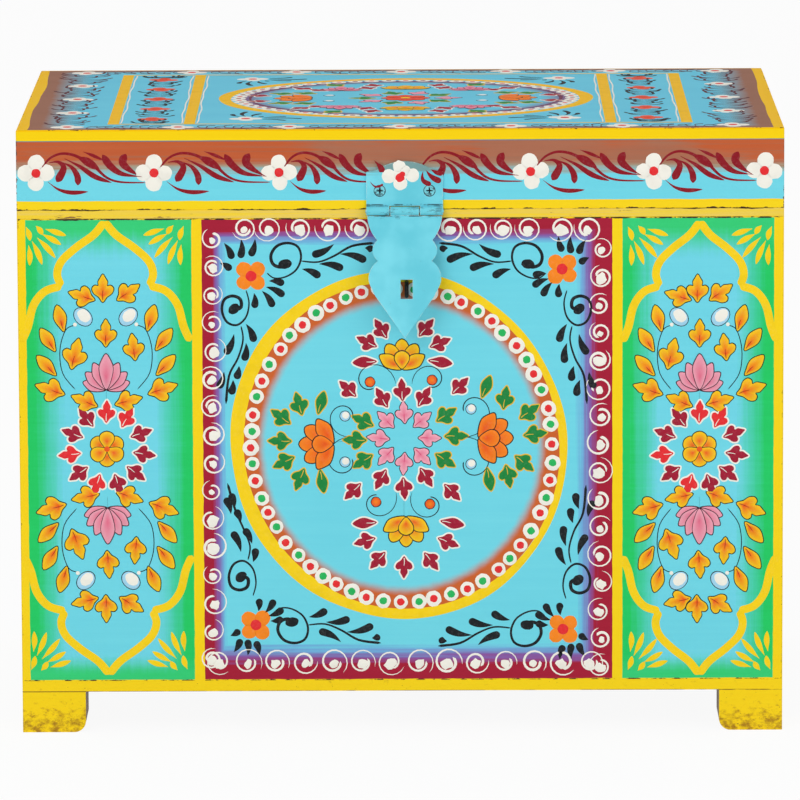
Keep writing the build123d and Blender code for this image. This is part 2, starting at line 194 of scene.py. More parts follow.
def on_front(px, py):
    """The place on the front face behind a spot of the photograph, as x and z."""
    ray = AHEAD * CAMERA_FOCAL + ACROSS * (px - PHOTO_MIDDLE) - OVER * (py - PHOTO_MIDDLE)
    spot = Vector(CAMERA_SPOT)
    spot += ray * ((FRONT_Y - spot.y) / ray.y)
    return spot.x, spot.z


# Faces that take paint: each turns a flat place and a height into a point
def front_face(u, v, h):
    return (u, FRONT_Y - h, v)


def left_face(u, v, h):
    return (LEFT_X - h, MIDDLE_Y - u, v)


def right_face(u, v, h):
    return (RIGHT_X + h, MIDDLE_Y + u, v)


def top_face(u, v, h):
    return (u, v, TOP_Z + h)


def plate_face(u, v, h):
    return (u, HASP_PLATE_Y - h, v)


# Flat drawing helpers
def around(center, reach, turn):
    """The place at a reach and a turn in radians from a centre."""
    return center[0] + reach * math.cos(turn), center[1] + reach * math.sin(turn)


def on_oval(center, radii, grow, turn):
    """The place at a turn in radians on an oval whose radii grow by a step."""
    return center[0] + (radii[0] + grow) * math.cos(turn), center[1] + (radii[1] + grow) * math.sin(turn)


def smooth(points, closed=False, steps=5):
    """A rounded line through the points."""
    count = len(points)
    result = []
    for i in range(count if closed else count - 1):
        near = [(i + k) % count if closed else min(max(i + k, 0), count - 1) for k in (-1, 0, 1, 2)]
        axes = list(zip(*(points[k] for k in near)))
        for t in [k / steps for k in range(steps)]:
            result.append(tuple(
                0.5 * (2 * p1 + (p2 - p0) * t + (2 * p0 - 5 * p1 + 4 * p2 - p3) * t * t
                       + (3 * p1 - p0 - 3 * p2 + p3) * t ** 3) for p0, p1, p2, p3 in axes))
    return result if closed else result + [tuple(points[-1])]


def turned(points, center, size, angle):
    """Local points, scaled, turned by degrees and moved to a centre."""
    c = math.cos(math.radians(angle))
    s = math.sin(math.radians(angle))
    return [(center[0] + size * (x * c - y * s), center[1] + size * (x * s + y * c)) for x, y in points]


def toward(start, end):
    return math.degrees(math.atan2(end[1] - start[1], end[0] - start[0]))


class Brush:
    """Thin raised coats of paint on one face, gathered into one piece."""

    def __init__(self, name, face, seed=1):
        self.name = name
        self.face = face
        self.points = []
        self.colors = []
        self.faces = []
        self.strokes = 0
        self.random = random.Random(seed)

    def point(self, u, v, height, color):
        self.points.append(tuple(value * MM for value in self.face(u, v, height)))
        self.colors.append(color)
        return len(self.points) - 1

    def fill(self, outline, color, level, heart, heart_color=None):
        """A filled shape with a rounded rim, its colour running to another at its heart."""
        height = COAT + COAT_STEP * (level - 1)
        count = len(outline)
        rim = [self.point(u, v, height - COAT, color) for u, v in outline]
        inner = []
        for u, v in outline:
            reach = max(math.hypot(u - heart[0], v - heart[1]), 1e-6)
            keep = max(1 - RIM_WIDTH / reach, 0.5)
            inner.append(self.point(heart[0] + (u - heart[0]) * keep,
                                    heart[1] + (v - heart[1]) * keep, height, color))
        top = self.point(*heart, height + 0.008, heart_color or color)
        for i in range(count):
            k = (i + 1) % count
            self.faces.append((rim[i], rim[k], inner[k], inner[i]))
            self.faces.append((inner[i], inner[k], top))

    def stroke(self, path, width, color, level=1, start=1.0, end=1.0, round_ends=True, profile=None):
        """A brush line whose width runs from a start share to an end share, or by a profile."""
        self.strokes += 1
        height = COAT + COAT_STEP * (level - 1) + STROKE_LIFT * (self.strokes % 6)
        lengths = [0.0]
        for a, b in zip(path, path[1:]):
            lengths.append(lengths[-1] + math.hypot(b[0] - a[0], b[1] - a[1]))
        total = max(lengths[-1], 1e-6)
        rows = []
        for i, (u, v) in enumerate(path):
            a = path[max(i - 1, 0)]
            b = path[min(i + 1, len(path) - 1)]
            run = max(math.hypot(b[0] - a[0], b[1] - a[1]), 1e-6)
            across = (-(b[1] - a[1]) / run, (b[0] - a[0]) / run)
            share = lengths[i] / total
            half = width / 2 * (profile(share) if profile else start + (end - start) * share)
            if round_ends:
                near = min(lengths[i], total - lengths[i])
                if near < half:
                    half *= math.sqrt(max(1 - (1 - near / max(half, 1e-6)) ** 2, 0.02))
            rows.append([self.point(u + across[0] * half * k, v + across[1] * half * k,
                                    height - COAT * (1 - up), color)
                         for k, up in ((-1, 0), (-0.6, 1), (0.6, 1), (1, 0))])
        for a, b in zip(rows, rows[1:]):
            for k in range(3):
                self.faces.append((a[k], a[k + 1], b[k + 1], b[k]))

    def build(self, material, body):
        mesh = bpy.data.meshes.new(self.name)
        mesh.from_pydata(self.points, [], self.faces)
        tint = mesh.color_attributes.new("paint", "FLOAT_COLOR", "POINT")
        for i, color in enumerate(self.colors):
            tint.data[i].color = linear(color)
        mesh.update()
        piece = bpy.data.objects.new(self.name, mesh)
        bpy.context.scene.collection.objects.link(piece)
        face_out(mesh, self.face)
        for polygon in mesh.polygons:
            polygon.use_smooth = True
        mesh.materials.append(material)
        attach(piece, body)


def face_out(mesh, face):
    """Turns every polygon so that it looks away from the painted face."""
    out = Vector(face(0, 0, 1)) - Vector(face(0, 0, 0))
    for polygon in [polygon for polygon in mesh.polygons if polygon.normal.dot(out) < 0]:
        polygon.flip()
    mesh.update()


# Motifs
def disc(brush, center, radius, color, level=1, sides=18, wobble=0.04, stretch=1.0, angle=0.0,
         heart_color=None):
    outline = []
    for i in range(sides):
        turn = 2 * math.pi * i / sides
        reach = radius * (1 + brush.random.uniform(-wobble, wobble))
        outline.append((reach * math.cos(turn) * stretch, reach * math.sin(turn)))
    brush.fill(turned(outline, center, 1.0, angle), color, level, center, heart_color)


def four_petals(brush, center, radius, color, heart, angle, heart_share=0.27):
    for i in range(4):
        turn = angle + 90 * i + brush.random.uniform(-5, 5)
        spot = around(center, radius * 0.55, math.radians(turn))
        size = radius * brush.random.uniform(0.43, 0.48)
        disc(brush, spot, size, color, stretch=1.05, angle=turn)
    disc(brush, center, radius * 0.36, color)
    disc(brush, center, radius * heart_share, heart, 2)


LEAF_HALF = [(-1.0, 0.0), (-0.62, 0.30), (-0.34, 0.66), (0.02, 0.78), (0.24, 0.58), (0.22, 0.32),
             (0.50, 0.34), (0.76, 0.20), (1.05, 0.0)]
POINTED_HALF = [(-1.0, 0.0), (-0.6, 0.24), (0.0, 0.46), (0.5, 0.38), (1.05, 0.0)]
PETAL_HALF = [(0.0, 0.0), (0.25, 0.17), (0.6, 0.25), (0.85, 0.14), (1.0, 0.0)]
ROUND_HALF = [(0.0, 0.0), (0.22, 0.18), (0.55, 0.31), (0.85, 0.25), (1.0, 0.0)]


def whole(half):
    return half + [(x, -y) for x, y in reversed(half[1:-1])]


def grown(points, amount):
    """The same shape with its outline moved outward by a small amount."""
    count = len(points)
    result = []
    for i, (x, y) in enumerate(points):
        a = points[i - 1]
        b = points[(i + 1) % count]
        run = max(math.hypot(b[0] - a[0], b[1] - a[1]), 1e-6)
        result.append((x + (b[1] - a[1]) / run * amount, y - (b[0] - a[0]) / run * amount))
    return result


def signed_area(points):
    return sum(a[0] * b[1] - b[0] * a[1] for a, b in zip(points, points[1:] + points[:1])) / 2


def edged(brush, shape, center, size, angle, color, edge, edge_width, level, tip, heart):
    """A filled shape over a slightly larger one in the edge colour."""
    outline = turned(smooth(shape, closed=True, steps=3), center, size, angle)
    if signed_area(outline) < 0:
        outline.reverse()
    middle = turned([heart], center, size, angle)[0]
    if edge:
        brush.fill(grown(outline, edge_width), edge, level, middle)
    brush.fill(outline, tip or color, level + 0.35, middle, color)


def leaf(brush, center, size, angle, color, edge, vein=None, tip=None, simple=False, edge_width=0.75,
         vein_width=0.55, heart=-0.25):
    """A leaf whose stem end lies back along the angle."""
    shape = whole(POINTED_HALF if simple else LEAF_HALF)
    tilt = angle + brush.random.uniform(-6, 6)
    edged(brush, shape, center, size, tilt, color, edge, edge_width, 1, tip, heart=(heart, 0.0))
    if vein:
        line = turned([(-0.82, 0.0), (-0.5, 0.03), (-0.1, 0.0)], center, size, tilt)
        brush.stroke(smooth(line), vein_width, vein, 3, 1.0, 0.6)


def fan(brush, base, size, angle, petals, color, tip, edge, edge_width=0.35):
    """Petals from one base. Each is an angle off the middle, a length, a width and a shape."""
    for order, (off, length, width, shape) in enumerate(petals):
        scaled = [(x * length, y * width) for x, y in whole(shape)]
        level = 1 + order * 0.7
        edged(brush, scaled, base, size, angle + off, color, edge, edge_width, level, tip,
              heart=(0.35 * length, 0.0))


PINK_LOTUS = ((72, 0.86, 0.85, PETAL_HALF), (-72, 0.86, 0.85, PETAL_HALF),
              (50, 0.95, 0.9, PETAL_HALF), (-50, 0.95, 0.9, PETAL_HALF),
              (25, 1.05, 0.9, PETAL_HALF), (-25, 1.05, 0.9, PETAL_HALF), (0, 1.28, 1.0, PETAL_HALF))
ORANGE_LOTUS = ((0, 1.15, 0.86, ROUND_HALF), (31, 1.10, 0.82, ROUND_HALF), (-31, 1.10, 0.82, ROUND_HALF),
                (58, 1.0, 1.05, PETAL_HALF), (-58, 1.0, 1.05, PETAL_HALF), (0, 0.70, 0.92, ROUND_HALF))


def swirl(brush, center, radius, start, way, turns):
    """A curled comma with a blob at its middle."""
    path = []
    for share in [i / 20 for i in range(21)]:
        turn = math.radians(start) + way * 2 * math.pi * turns * share
        path.append(around(center, radius * (1.06 - 0.56 * share), turn))
    brush.stroke(path, brush.random.uniform(0.75, 1.3), WHITE, 1, 0.5, 1.5)
    lean = (center[0] + radius * brush.random.uniform(-0.10, 0.10), center[1] - radius * 0.14)
    disc(brush, lean, radius * brush.random.uniform(0.30, 0.48), WHITE, 2, sides=11, wobble=0.2,
         stretch=brush.random.uniform(0.8, 1.25), angle=brush.random.uniform(0, 180))


def drop(brush, start, end, width, color, bend):
    """A brush mark from a thin start to a fat end."""
    du, dv = end[0] - start[0], end[1] - start[1]
    shares = [1 - (1 - i / 15) ** 2.2 for i in range(16)]
    path = [(start[0] + du * t - dv * bend * math.sin(math.pi * t),
             start[1] + dv * t + du * bend * math.sin(math.pi * t)) for t in shares]
    brush.stroke(path, width, color,
                 profile=lambda t: 0.10 + 0.90 * math.sin(min(t / 0.8, 1.0) * math.pi / 2) ** 1.2)


def mark(brush, points, width, color, peak):
    """A brush mark through the points, thin where it starts and widest at its peak."""
    def profile(share):
        if share < peak:
            return 0.10 + 0.90 * math.sin(share / peak * math.pi / 2) ** 1.6
        return max(math.cos((share - peak) / (1 - peak) * math.pi / 2), 0.05) ** 0.7

    brush.stroke(smooth(points, steps=9), width, color, profile=profile)


def pearl(brush, center, radius, angle=35.0, stretch=1.0):
    """A white bead with a blue shade and a thin dark edge."""
    disc(brush, center, radius + 0.35, BLACK, 1, stretch=stretch, angle=angle, wobble=0.01)
    disc(brush, center, radius, PEARL_BLUE, 2, stretch=stretch, angle=angle, wobble=0.01)
    inner = (center[0] + radius * 0.12, center[1] + radius * 0.16)
    disc(brush, inner, radius * 0.74, WHITE, 3, stretch=stretch, angle=angle)


def curl_to(brush, start, end, radius, way):
    """A thin stem that winds in round a bead at its end."""
    distance = math.hypot(start[0] - end[0], start[1] - end[1])
    first = math.atan2(start[1] - end[1], start[0] - end[0])
    near = radius * 1.35
    path = []
    for share in [i / 22 for i in range(23)]:
        reach = near + (distance - near) * (1 - share) ** 1.8
        path.append(around(end, reach, first + way * math.pi * 1.7 * share))
    brush.stroke(path, 0.5, BLACK, 1, 0.8, 1.4)


# Materials
class Field:
    """A number that a material works out at each point."""

    def __init__(self, paint, socket):
        self.paint = paint
        self.socket = socket

    def __add__(self, other):
        return self.paint.math("ADD", self, other)

    def __sub__(self, other):
        return self.paint.math("SUBTRACT", self, other)

    def __rsub__(self, other):
        return self.paint.math("SUBTRACT", other, self)

    def __mul__(self, other):
        return self.paint.math("MULTIPLY", self, other)

    def __abs__(self):
        return self.paint.math("ABSOLUTE", self)

    __radd__ = __add__
    __rmul__ = __mul__


class Paint:
    """A material built from fields of the object's own coordinates, in millimetres."""

    def __init__(self, name):
        self.material = bpy.data.materials.new(name)
        self.material.use_nodes = True
        self.tree = self.material.node_tree
        self.shader = self.tree.nodes["Principled BSDF"]
        self.coordinates = self.tree.nodes.new("ShaderNodeTexCoord").outputs["Object"]
        split = self.tree.nodes.new("ShaderNodeSeparateXYZ")
        self.tree.links.new(self.coordinates, split.inputs[0])
        self.x, self.y, self.z = (Field(self, split.outputs[i]) * 1000.0 for i in range(3))

    def feed(self, value, socket):
        if isinstance(value, Field):
            self.tree.links.new(value.socket, socket)
        elif isinstance(value, tuple):
            socket.default_value = linear(value)
        else:
            socket.default_value = value

    def math(self, operation, *values):
        node = self.tree.nodes.new("ShaderNodeMath")
        node.operation = operation
        for i, value in enumerate(values):
            self.feed(value, node.inputs[i])
        return Field(self, node.outputs[0])

    def reach(self, across, along):
        return self.math("SQRT", across * across + along * along)

    def least(self, *values):
        return reduce(partial(self.math, "MINIMUM"), values)

    def most(self, *values):
        return reduce(partial(self.math, "MAXIMUM"), values)

    def step(self, value, low, high):
        """0 below low, 1 above high, smooth between them."""
        node = self.tree.nodes.new("ShaderNodeMapRange")
        node.interpolation_type = "SMOOTHSTEP"
        self.feed(value, node.inputs["Value"])
        node.inputs["From Min"].default_value = low
        node.inputs["From Max"].default_value = high
        return Field(self, node.outputs["Result"])

    def noise(self, stretch, detail, roughness):
        """Noise from 0 to 1 with its size along x, y and z in millimetres."""
        mapping = self.tree.nodes.new("ShaderNodeMapping")
        mapping.inputs["Scale"].default_value = tuple(1000.0 / size for size in stretch)
        self.tree.links.new(self.coordinates, mapping.inputs["Vector"])
        node = self.tree.nodes.new("ShaderNodeTexNoise")
        node.inputs["Scale"].default_value = 1.0
        node.inputs["Detail"].default_value = detail
        node.inputs["Roughness"].default_value = roughness
        self.tree.links.new(mapping.outputs[0], node.inputs["Vector"])
        return Field(self, node.outputs["Fac"])

    def waver(self, stretch, amount, detail=3.0, roughness=0.55):
        """Noise that runs as far below 0 as above it, by half the amount."""
        return (self.noise(stretch, detail, roughness) - 0.5) * amount

    def mix(self, share, a, b, kind="MIX"):
        node = self.tree.nodes.new("ShaderNodeMix")
        node.data_type = "RGBA"
        node.blend_type = kind
        self.feed(share, node.inputs["Factor"])
        self.feed(a, node.inputs[6])
        self.feed(b, node.inputs[7])
        return Field(self, node.outputs[2])

    def ramp(self, value, low, high, stops):
        """Colours along a field, each at a share of the way from low to high."""
        share = (value - low) * (1.0 / (high - low))
        node = self.tree.nodes.new("ShaderNodeValToRGB")
        self.feed(share, node.inputs[0])
        stack = node.color_ramp.elements
        while len(stack) < len(stops):
            stack.new(0.5)
        for element, (place, color) in zip(stack, stops):
            element.position = (place - low) / (high - low)
            element.color = linear(color)
        return Field(self, node.outputs[0])

    def box(self, a, b, low_a, high_a, low_b, high_b):
        """How far a place lies inside a rectangle, below 0 outside it."""
        return self.least(a - low_a, high_a - a, b - low_b, high_b - b)

    def finish(self, color, roughness, bump, bump_height, metal=0.0, gloss=0.16):
        """Sets the surface and hands back the material."""
        self.feed(color, self.shader.inputs["Base Color"])
        self.feed(roughness, self.shader.inputs["Roughness"])
        self.shader.inputs["Metallic"].default_value = metal
        self.shader.inputs["Specular IOR Level"].default_value = gloss
        node = self.tree.nodes.new("ShaderNodeBump")
        node.inputs["Strength"].default_value = 0.6
        node.inputs["Distance"].default_value = bump_height * MM
        self.feed(bump, node.inputs["Height"])
        self.tree.links.new(node.outputs[0], self.shader.inputs["Normal"])
        return self.material


def bare_wood(paint, along):
    """Colour and height of unpainted wood, its grain along one axis."""
    axis = "xyz".index(along)
    sizes = [5, 5, 5]
    fine = [1.2, 1.2, 1.2]
    sizes[axis] = 160
    fine[axis] = 60
    grain = paint.noise(sizes, 5.0, 0.6)
    fibre = paint.noise(fine, 3.0, 0.6)
    color = paint.mix(grain, DARK_WOOD, WOOD)
    color = paint.mix(fibre * 0.35, color, PALE_FIBRE)
    return color, grain + fibre


def brushed(paint, color, along, depth=0.10):
    """Paint colour with the streaks and patches of a wide brush."""
    sizes = {"x": (90, 20, 2.6), "y": (2.6, 90, 2.6)}[along]
    streak = paint.noise(sizes, 4.0, 0.6)
    patch = paint.noise((60, 60, 60), 2.0, 0.5)
    shade = paint.step(streak, 0.30, 0.75) * depth + paint.step(patch, 0.35, 0.7) * (depth * 0.6)
    return paint.mix(shade, color, PURE_WHITE, "SOFT_LIGHT"), streak


def worn(paint, color, edge_distance, amount):
    """Chips of bare wood close to edges, edge_distance in millimetres."""
    chip = paint.noise((9, 9, 4), 5.0, 0.7)
    reach = paint.step(edge_distance, 0.0, 2.4 * amount)
    share = paint.step(chip - reach * 0.42, 0.50, 0.53)
    return paint.mix(share, color, DARK_WOOD), share


def outside(paint, out_field, outer_color, along, height):
    """Paint on the outer face and bare wood on the faces behind it."""
    wood, grain = bare_wood(paint, along)
    share = paint.step(out_field, 0.0, 0.5)
    return paint.mix(share, wood, outer_color), paint.math("MULTIPLY", grain, 1 - share) + height * share


def coated(paint, color, along, inside, out, roughness=0.42, depth=0.10, wear=1.0, line=None, ends=None):
    """A painted board: streaks, worn edges, yellow ends and bare wood behind its outer face."""
    color, streak = brushed(paint, color, along, depth)
    if line:
        color = paint.mix(line, color, RIM_SHADOW)
    color, chips = worn(paint, color, inside, wear)
    if ends:
        color = paint.mix(paint.step(ends, 0.0, 0.4), color, YELLOW)
        out = paint.most(out, ends)
    color, bump = outside(paint, out, color, along, streak - chips * 1.5)
    return paint.finish(color, roughness, bump, 0.10)


def outer_faces(paint):
    """Above 0 on the four outer faces of the box."""
    return paint.most(abs(paint.y - MIDDLE_Y) - (BACK_Y - MIDDLE_Y - 1.0),
                      abs(paint.x) - (RIGHT_X - 1.0))


# Ground coats of the boards
FRONT_PANELS = {"left": (-223.6, -124.5), "center": (-118.7, 126.4), "right": (132.2, 222.9)}
RING_CENTER = (-1.6, 174.2)
RING_RADII = (100.8, 105.6)
RING_WIDTH = 6.4
RING_SKEW = 1.4
# The ring is wider on its left than on its right by this share either way
RING_LEAN = 0.30


def board_ends(paint):
    """Above 0 on the ends of the front and back boards."""
    return abs(paint.x) - (RIGHT_X - 0.8)


def green_ground(paint, distance_side, distance_end, wobble):
    """Green at a panel's edges that fades to turquoise inwards."""
    stops = ((-4, GREEN), (5, GREEN), (13, PANEL_SEA_GREEN), (22, TURQUOISE))
    side = paint.ramp(distance_side + wobble, -4, 28, stops)
    share = paint.step(distance_end + wobble, 5, 26)
    return paint.mix(share, PANEL_END_GREEN, side)


def front_coat():
    """Front wall: a bordered centre panel between two green ones, in a yellow frame."""
    paint = Paint("front_panel_paint")
    x, z = paint.x, paint.z
    edge_noise = paint.waver((7, 7, 7), 0.7)
    streak_noise = paint.waver((120, 20, 2.2), 1.0, 4.0, 0.65)
    tall_noise = paint.waver((2.2, 20, 120), 1.0, 4.0, 0.65)
    low, high = PANEL_LOW + 0.5, PANEL_HIGH - 0.4
    # Centre panel, maroon at its edge through purple and blue to turquoise
    a, b = FRONT_PANELS["center"]
    center = paint.box(x, z, a, b, low, high) + edge_noise
    sides = paint.least((x - a) * 1.55, b - x) + tall_noise * 9.0
    ends = paint.least(z - low, (high - z) * 1.4) + streak_noise * 11.0
    stops = ((-2, MAROON), (9.5, MAROON), (14, PURPLE), (18, SKY), (22, TURQUOISE))
    center_color = paint.ramp(paint.least(sides, ends), -2, 24, stops)
    # Soft terracotta band inside the ring
    across = x - RING_CENTER[0]
    along = (z - RING_CENTER[1]) * (RING_RADII[0] / RING_RADII[1])
    reach = paint.reach(across, along)
    lean = across * (RING_WIDTH * RING_LEAN / RING_RADII[0])
    band = paint.step(reach - lean + edge_noise * 3.0, RING_RADII[0] - 20.5, RING_RADII[0] - 13.5)
    inside_ring = paint.step(RING_RADII[0] - RING_WIDTH / 2 - reach, 0.0, 0.3)
    center_color = paint.mix(band * inside_ring, center_color, RING_GROUND)
    color = paint.mix(paint.step(center, 0.0, 0.25), YELLOW, center_color)
    for a, b in (FRONT_PANELS["left"], FRONT_PANELS["right"]):
        inside = paint.box(x, z, a, b, low, high) + edge_noise
        green = green_ground(paint, paint.least(x - a, b - x), paint.least(high - z, (z - low) * 1.6),
                             tall_noise * 9.0 + streak_noise * 4.0)
        color = paint.mix(paint.step(inside, 0.0, 0.25), color, green)
    # Dark, broken line where the rim lath sits on the panel
    ragged = paint.noise((14, 14, 6), 4.0, 0.7)
    line = paint.step(z - PANEL_HIGH + ragged * 2.0, 0.15, 0.5) * paint.step(ragged, 0.46, 0.56)
    return coated(paint, color, "x", paint.box(x, z, LEFT_X, RIGHT_X, PANEL_LOW, PANEL_HIGH),
                  FRONT_Y + 1.0 - paint.y, line=line, ends=board_ends(paint))


def side_coat():
    """Side walls: three arched panels on each, in a yellow frame."""
    paint = Paint("side_panel_paint")
    y, z = paint.y, paint.z
    edge_noise = paint.waver((7, 7, 7), 0.7)
    tall_noise = paint.waver((20, 2.2, 120), 12.0, 4.0, 0.65)
    low, high = PANEL_LOW + 0.5, PANEL_HIGH - 0.4
    color = YELLOW
    for a, b in SIDE_PANELS:
        inside = paint.box(y, z, MIDDLE_Y + a, MIDDLE_Y + b, low, high) + edge_noise
        green = green_ground(paint, paint.least(y - (MIDDLE_Y + a), (MIDDLE_Y + b) - y),
                             paint.least(high - z, (z - low) * 1.6), tall_noise)
        color = paint.mix(paint.step(inside, 0.0, 0.25), color, green)
    return coated(paint, color, "y", paint.box(y, z, FRONT_Y, BACK_Y, PANEL_LOW, PANEL_HIGH),
                  abs(paint.x) - (RIGHT_X - 1.0))


def back_coat():
    """Back wall: plain turquoise in a yellow frame."""
    paint = Paint("back_panel_paint")
    x, z = paint.x, paint.z
    inside = paint.box(x, z, LEFT_X + 6, RIGHT_X - 6, PANEL_LOW + 0.5, PANEL_HIGH - 0.5)
    color = paint.mix(paint.step(inside + paint.waver((7, 7, 7), 0.8), 0.0, 0.25), YELLOW, TURQUOISE)
    return coated(paint, color, "x", paint.box(x, z, LEFT_X, RIGHT_X, PANEL_LOW, PANEL_HIGH),
                  paint.y - (BACK_Y - 1.0), 0.48, 0.16, 1.3, ends=board_ends(paint))


def lid_wall_coat(name, along):
    """Lid walls: a yellow stripe, then turquoise that turns brown-red towards the top."""
    paint = Paint(name)
    long = along == "x"
    run = paint.x if long else paint.y
    z = paint.z
    streaks = paint.waver((140, 20, 2.0) if long else (20, 140, 2.0), 1.0, 4.0, 0.65)
    height = z - LID_LOW + streaks * 10.0
    color = paint.ramp(height, 12, 42, ((12, TURQUOISE), (20, TURQUOISE), (25.5, LID_WALL_GREY),
                                        (30, TERRACOTTA), (42, LID_WALL_RED)))
    drag = paint.step(streaks, 0.02, 0.22) * paint.step(height, 20.0, 31.0)
    color = paint.mix(drag * 0.45, color, LID_WALL_DRAG)
    broad = paint.noise((130, 40, 26) if long else (40, 130, 26), 3.0, 0.6)
    patch = paint.step(broad + streaks * 0.3, 0.50, 0.66)
    color = paint.mix(patch * paint.step(height, 20.0, 30.0) * 0.55, color, LID_WALL_PATCH)
    stripe = 5.6 - (z - LID_LOW) + paint.waver((20, 20, 4), 0.9)
    color = paint.mix(paint.step(stripe, 0.0, 0.3), color, YELLOW)
    bounds = (LEFT_X, RIGHT_X) if long else (FRONT_Y, BACK_Y)
    return coated(paint, color, along, paint.box(run, z, *bounds, LID_LOW, LID_HIGH + 4), outer_faces(paint))


TOP_EDGE_BAND = 6.2


def lid_top_coat():
    """Lid top: yellow edges, brown beside them, turquoise in the middle, and bare wood under it."""
    paint = Paint("lid_top_paint")
    x, y, z = paint.x, paint.y, paint.z
    edge_noise = paint.waver((9, 9, 9), 0.9)
    long_noise = paint.waver((120, 2.4, 20), 1.0, 4.0, 0.65)
    side = paint.least(x - LEFT_X, RIGHT_X - x)
    end = paint.least(y - FRONT_Y, BACK_Y - y)
    brown = paint.ramp(side + edge_noise * 4.0 + long_noise * 8.0, 5, 40,
                       ((5, LID_TOP_BROWN), (14, LID_TOP_BROWN), (34, LID_TOP_TURQUOISE)))
    color = paint.mix(paint.step(end + long_noise * 9.0, 3.0, 17.0), LID_TOP_BROWN, brown)
    across = x - OVAL_CENTER[0]
    along = (y - OVAL_CENTER[1]) * (OVAL_RADII[0] / OVAL_RADII[1])
    reach = paint.reach(across, along)
    inside = paint.step(OVAL_RADII[0] - 14.0 - reach, 0.0, 0.6)
    shade = paint.step(reach, OVAL_RADII[0] - 34.0, OVAL_RADII[0] - 14.0)
    color = paint.mix(inside * shade, color, OVAL_SHADE)
    ragged = side + edge_noise * 0.5 + paint.waver((110, 110, 110), 8.0, 1.0)
    color = paint.mix(paint.step(ragged, TOP_EDGE_BAND, TOP_EDGE_BAND + 0.3), LID_TOP_YELLOW, color)
    color = paint.mix(paint.step(end + edge_noise, 1.6, 1.9), LID_TOP_YELLOW, color)
    color, streak = brushed(paint, color, "x")
    # The board's own edge is yellow, with a thin blue line under it on the front
    line = paint.noise((60, 60, 3), 3.0, 0.6)
    edge_color = paint.mix(paint.step(LID_HIGH + 0.3 + line * 0.8 - z, 0.0, 0.3), YELLOW, LID_EDGE_BLUE)
    color = paint.mix(paint.step(TOP_Z - 0.75 - z, 0.0, 0.1), color, edge_color)
    color, chips = worn(paint, color, paint.least(side, end) + (TOP_Z - z) * 2.0, 1.2)
    wood, grain = bare_wood(paint, "x")
    under = paint.step(LID_HIGH + 0.02 - z, 0.0, 0.01)
    color = paint.mix(under, color, wood)
    return paint.finish(color, 0.6, streak - chips * 1.5 + grain * 0.2, 0.10, gloss=0.05)


def rim_coat(name, along):
    """Laths with thin worn yellow paint over visible grain, and painted shade along their top at the gap
    under the lid.
    """
    paint = Paint(name)
    wood = bare_wood(paint, along)[0]
    size = (150, 3, 1.1) if along == "x" else (3, 150, 1.1)
    streak = paint.noise(size, 5.0, 0.7)
    yellow = paint.mix(paint.step(streak, 0.35, 0.75), RIM_YELLOW, RIM_PALE)
    chip = paint.noise((26, 26, 3), 5.0, 0.75)
    # Painted shade: a dark, broken line along the laths' top edge, at the gap under the lid
    line = paint.step(paint.noise((34, 34, 8), 4.0, 0.7) * 3.0 - (SEAM_Z - paint.z), 1.15, 1.45)
    share = paint.step(chip, 0.63, 0.68)
    color = paint.mix(share, yellow, wood)
    color = paint.mix(line, color, RIM_GAP_SHADE)
    out = outer_faces(paint)
    color, bump = outside(paint, out, color, along, streak - share)
    return paint.finish(color, 0.5, bump, 0.12)


def base_coat():
    """Yellow paint of the bottom board's edge and the feet, with brown grime."""
    paint = Paint("base_paint")
    x, y, z = paint.x, paint.y, paint.z
    color, streak = brushed(paint, YELLOW, "x", 0.08)
    grime = paint.noise((6, 6, 4), 6.0, 0.75)
    low = paint.step(26.0 - z, 0.0, 24.0)
    stain = paint.step(grime + low * 0.20, 0.58, 0.84)
    color = paint.mix(stain * 0.8, color, BASE_STAIN)
    speck = paint.noise((1.6, 1.6, 1.6), 2.0, 0.6)
    color = paint.mix(paint.step(speck + low * 0.05, 0.74, 0.78) * 0.7, color, BASE_SPECK)
    joint = paint.noise((30, 30, 2), 4.0, 0.7)
    seam = paint.step(0.35 - abs(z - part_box("bottom_panel")[0][2] / MM), 0.0, 0.2)
    color = paint.mix(seam * paint.step(joint, 0.42, 0.5), color, BASE_SEAM)
    # Only the outer sides are painted
    side = paint.least(RIGHT_X - abs(x), paint.least(y - FRONT_Y, BACK_Y - y))
    wood, grain = bare_wood(paint, "y")
    dark = paint.mix(0.45, wood, UNDERSIDE_DARK)
    share = paint.step(side + (grime - 0.5) * 1.2, 0.6, 1.1)
    color = paint.mix(share, color, dark)
    return paint.finish(color, 0.5, streak + grain * 0.4, 0.12)


def motif_paint(name, roughness, gloss):
    """Paint of the ornament: its colour comes with each shape, its texture from the brush."""
    paint = Paint(name)
    node = paint.tree.nodes.new("ShaderNodeAttribute")
    node.attribute_name = "paint"
    tint = Field(paint, node.outputs["Color"])
    fine = paint.noise((1.6, 1.6, 1.6), 4.0, 0.65)
    broad = paint.noise((9, 9, 9), 2.0, 0.5)
    color = paint.mix(paint.step(fine, 0.45, 0.85) * 0.05, tint, PURE_WHITE)
    color = paint.mix(paint.step(broad, 0.45, 0.75) * 0.07, color, MOTIF_SHADE, "MULTIPLY")
    return paint.finish(color, roughness, fine + broad, 0.06, gloss=gloss)


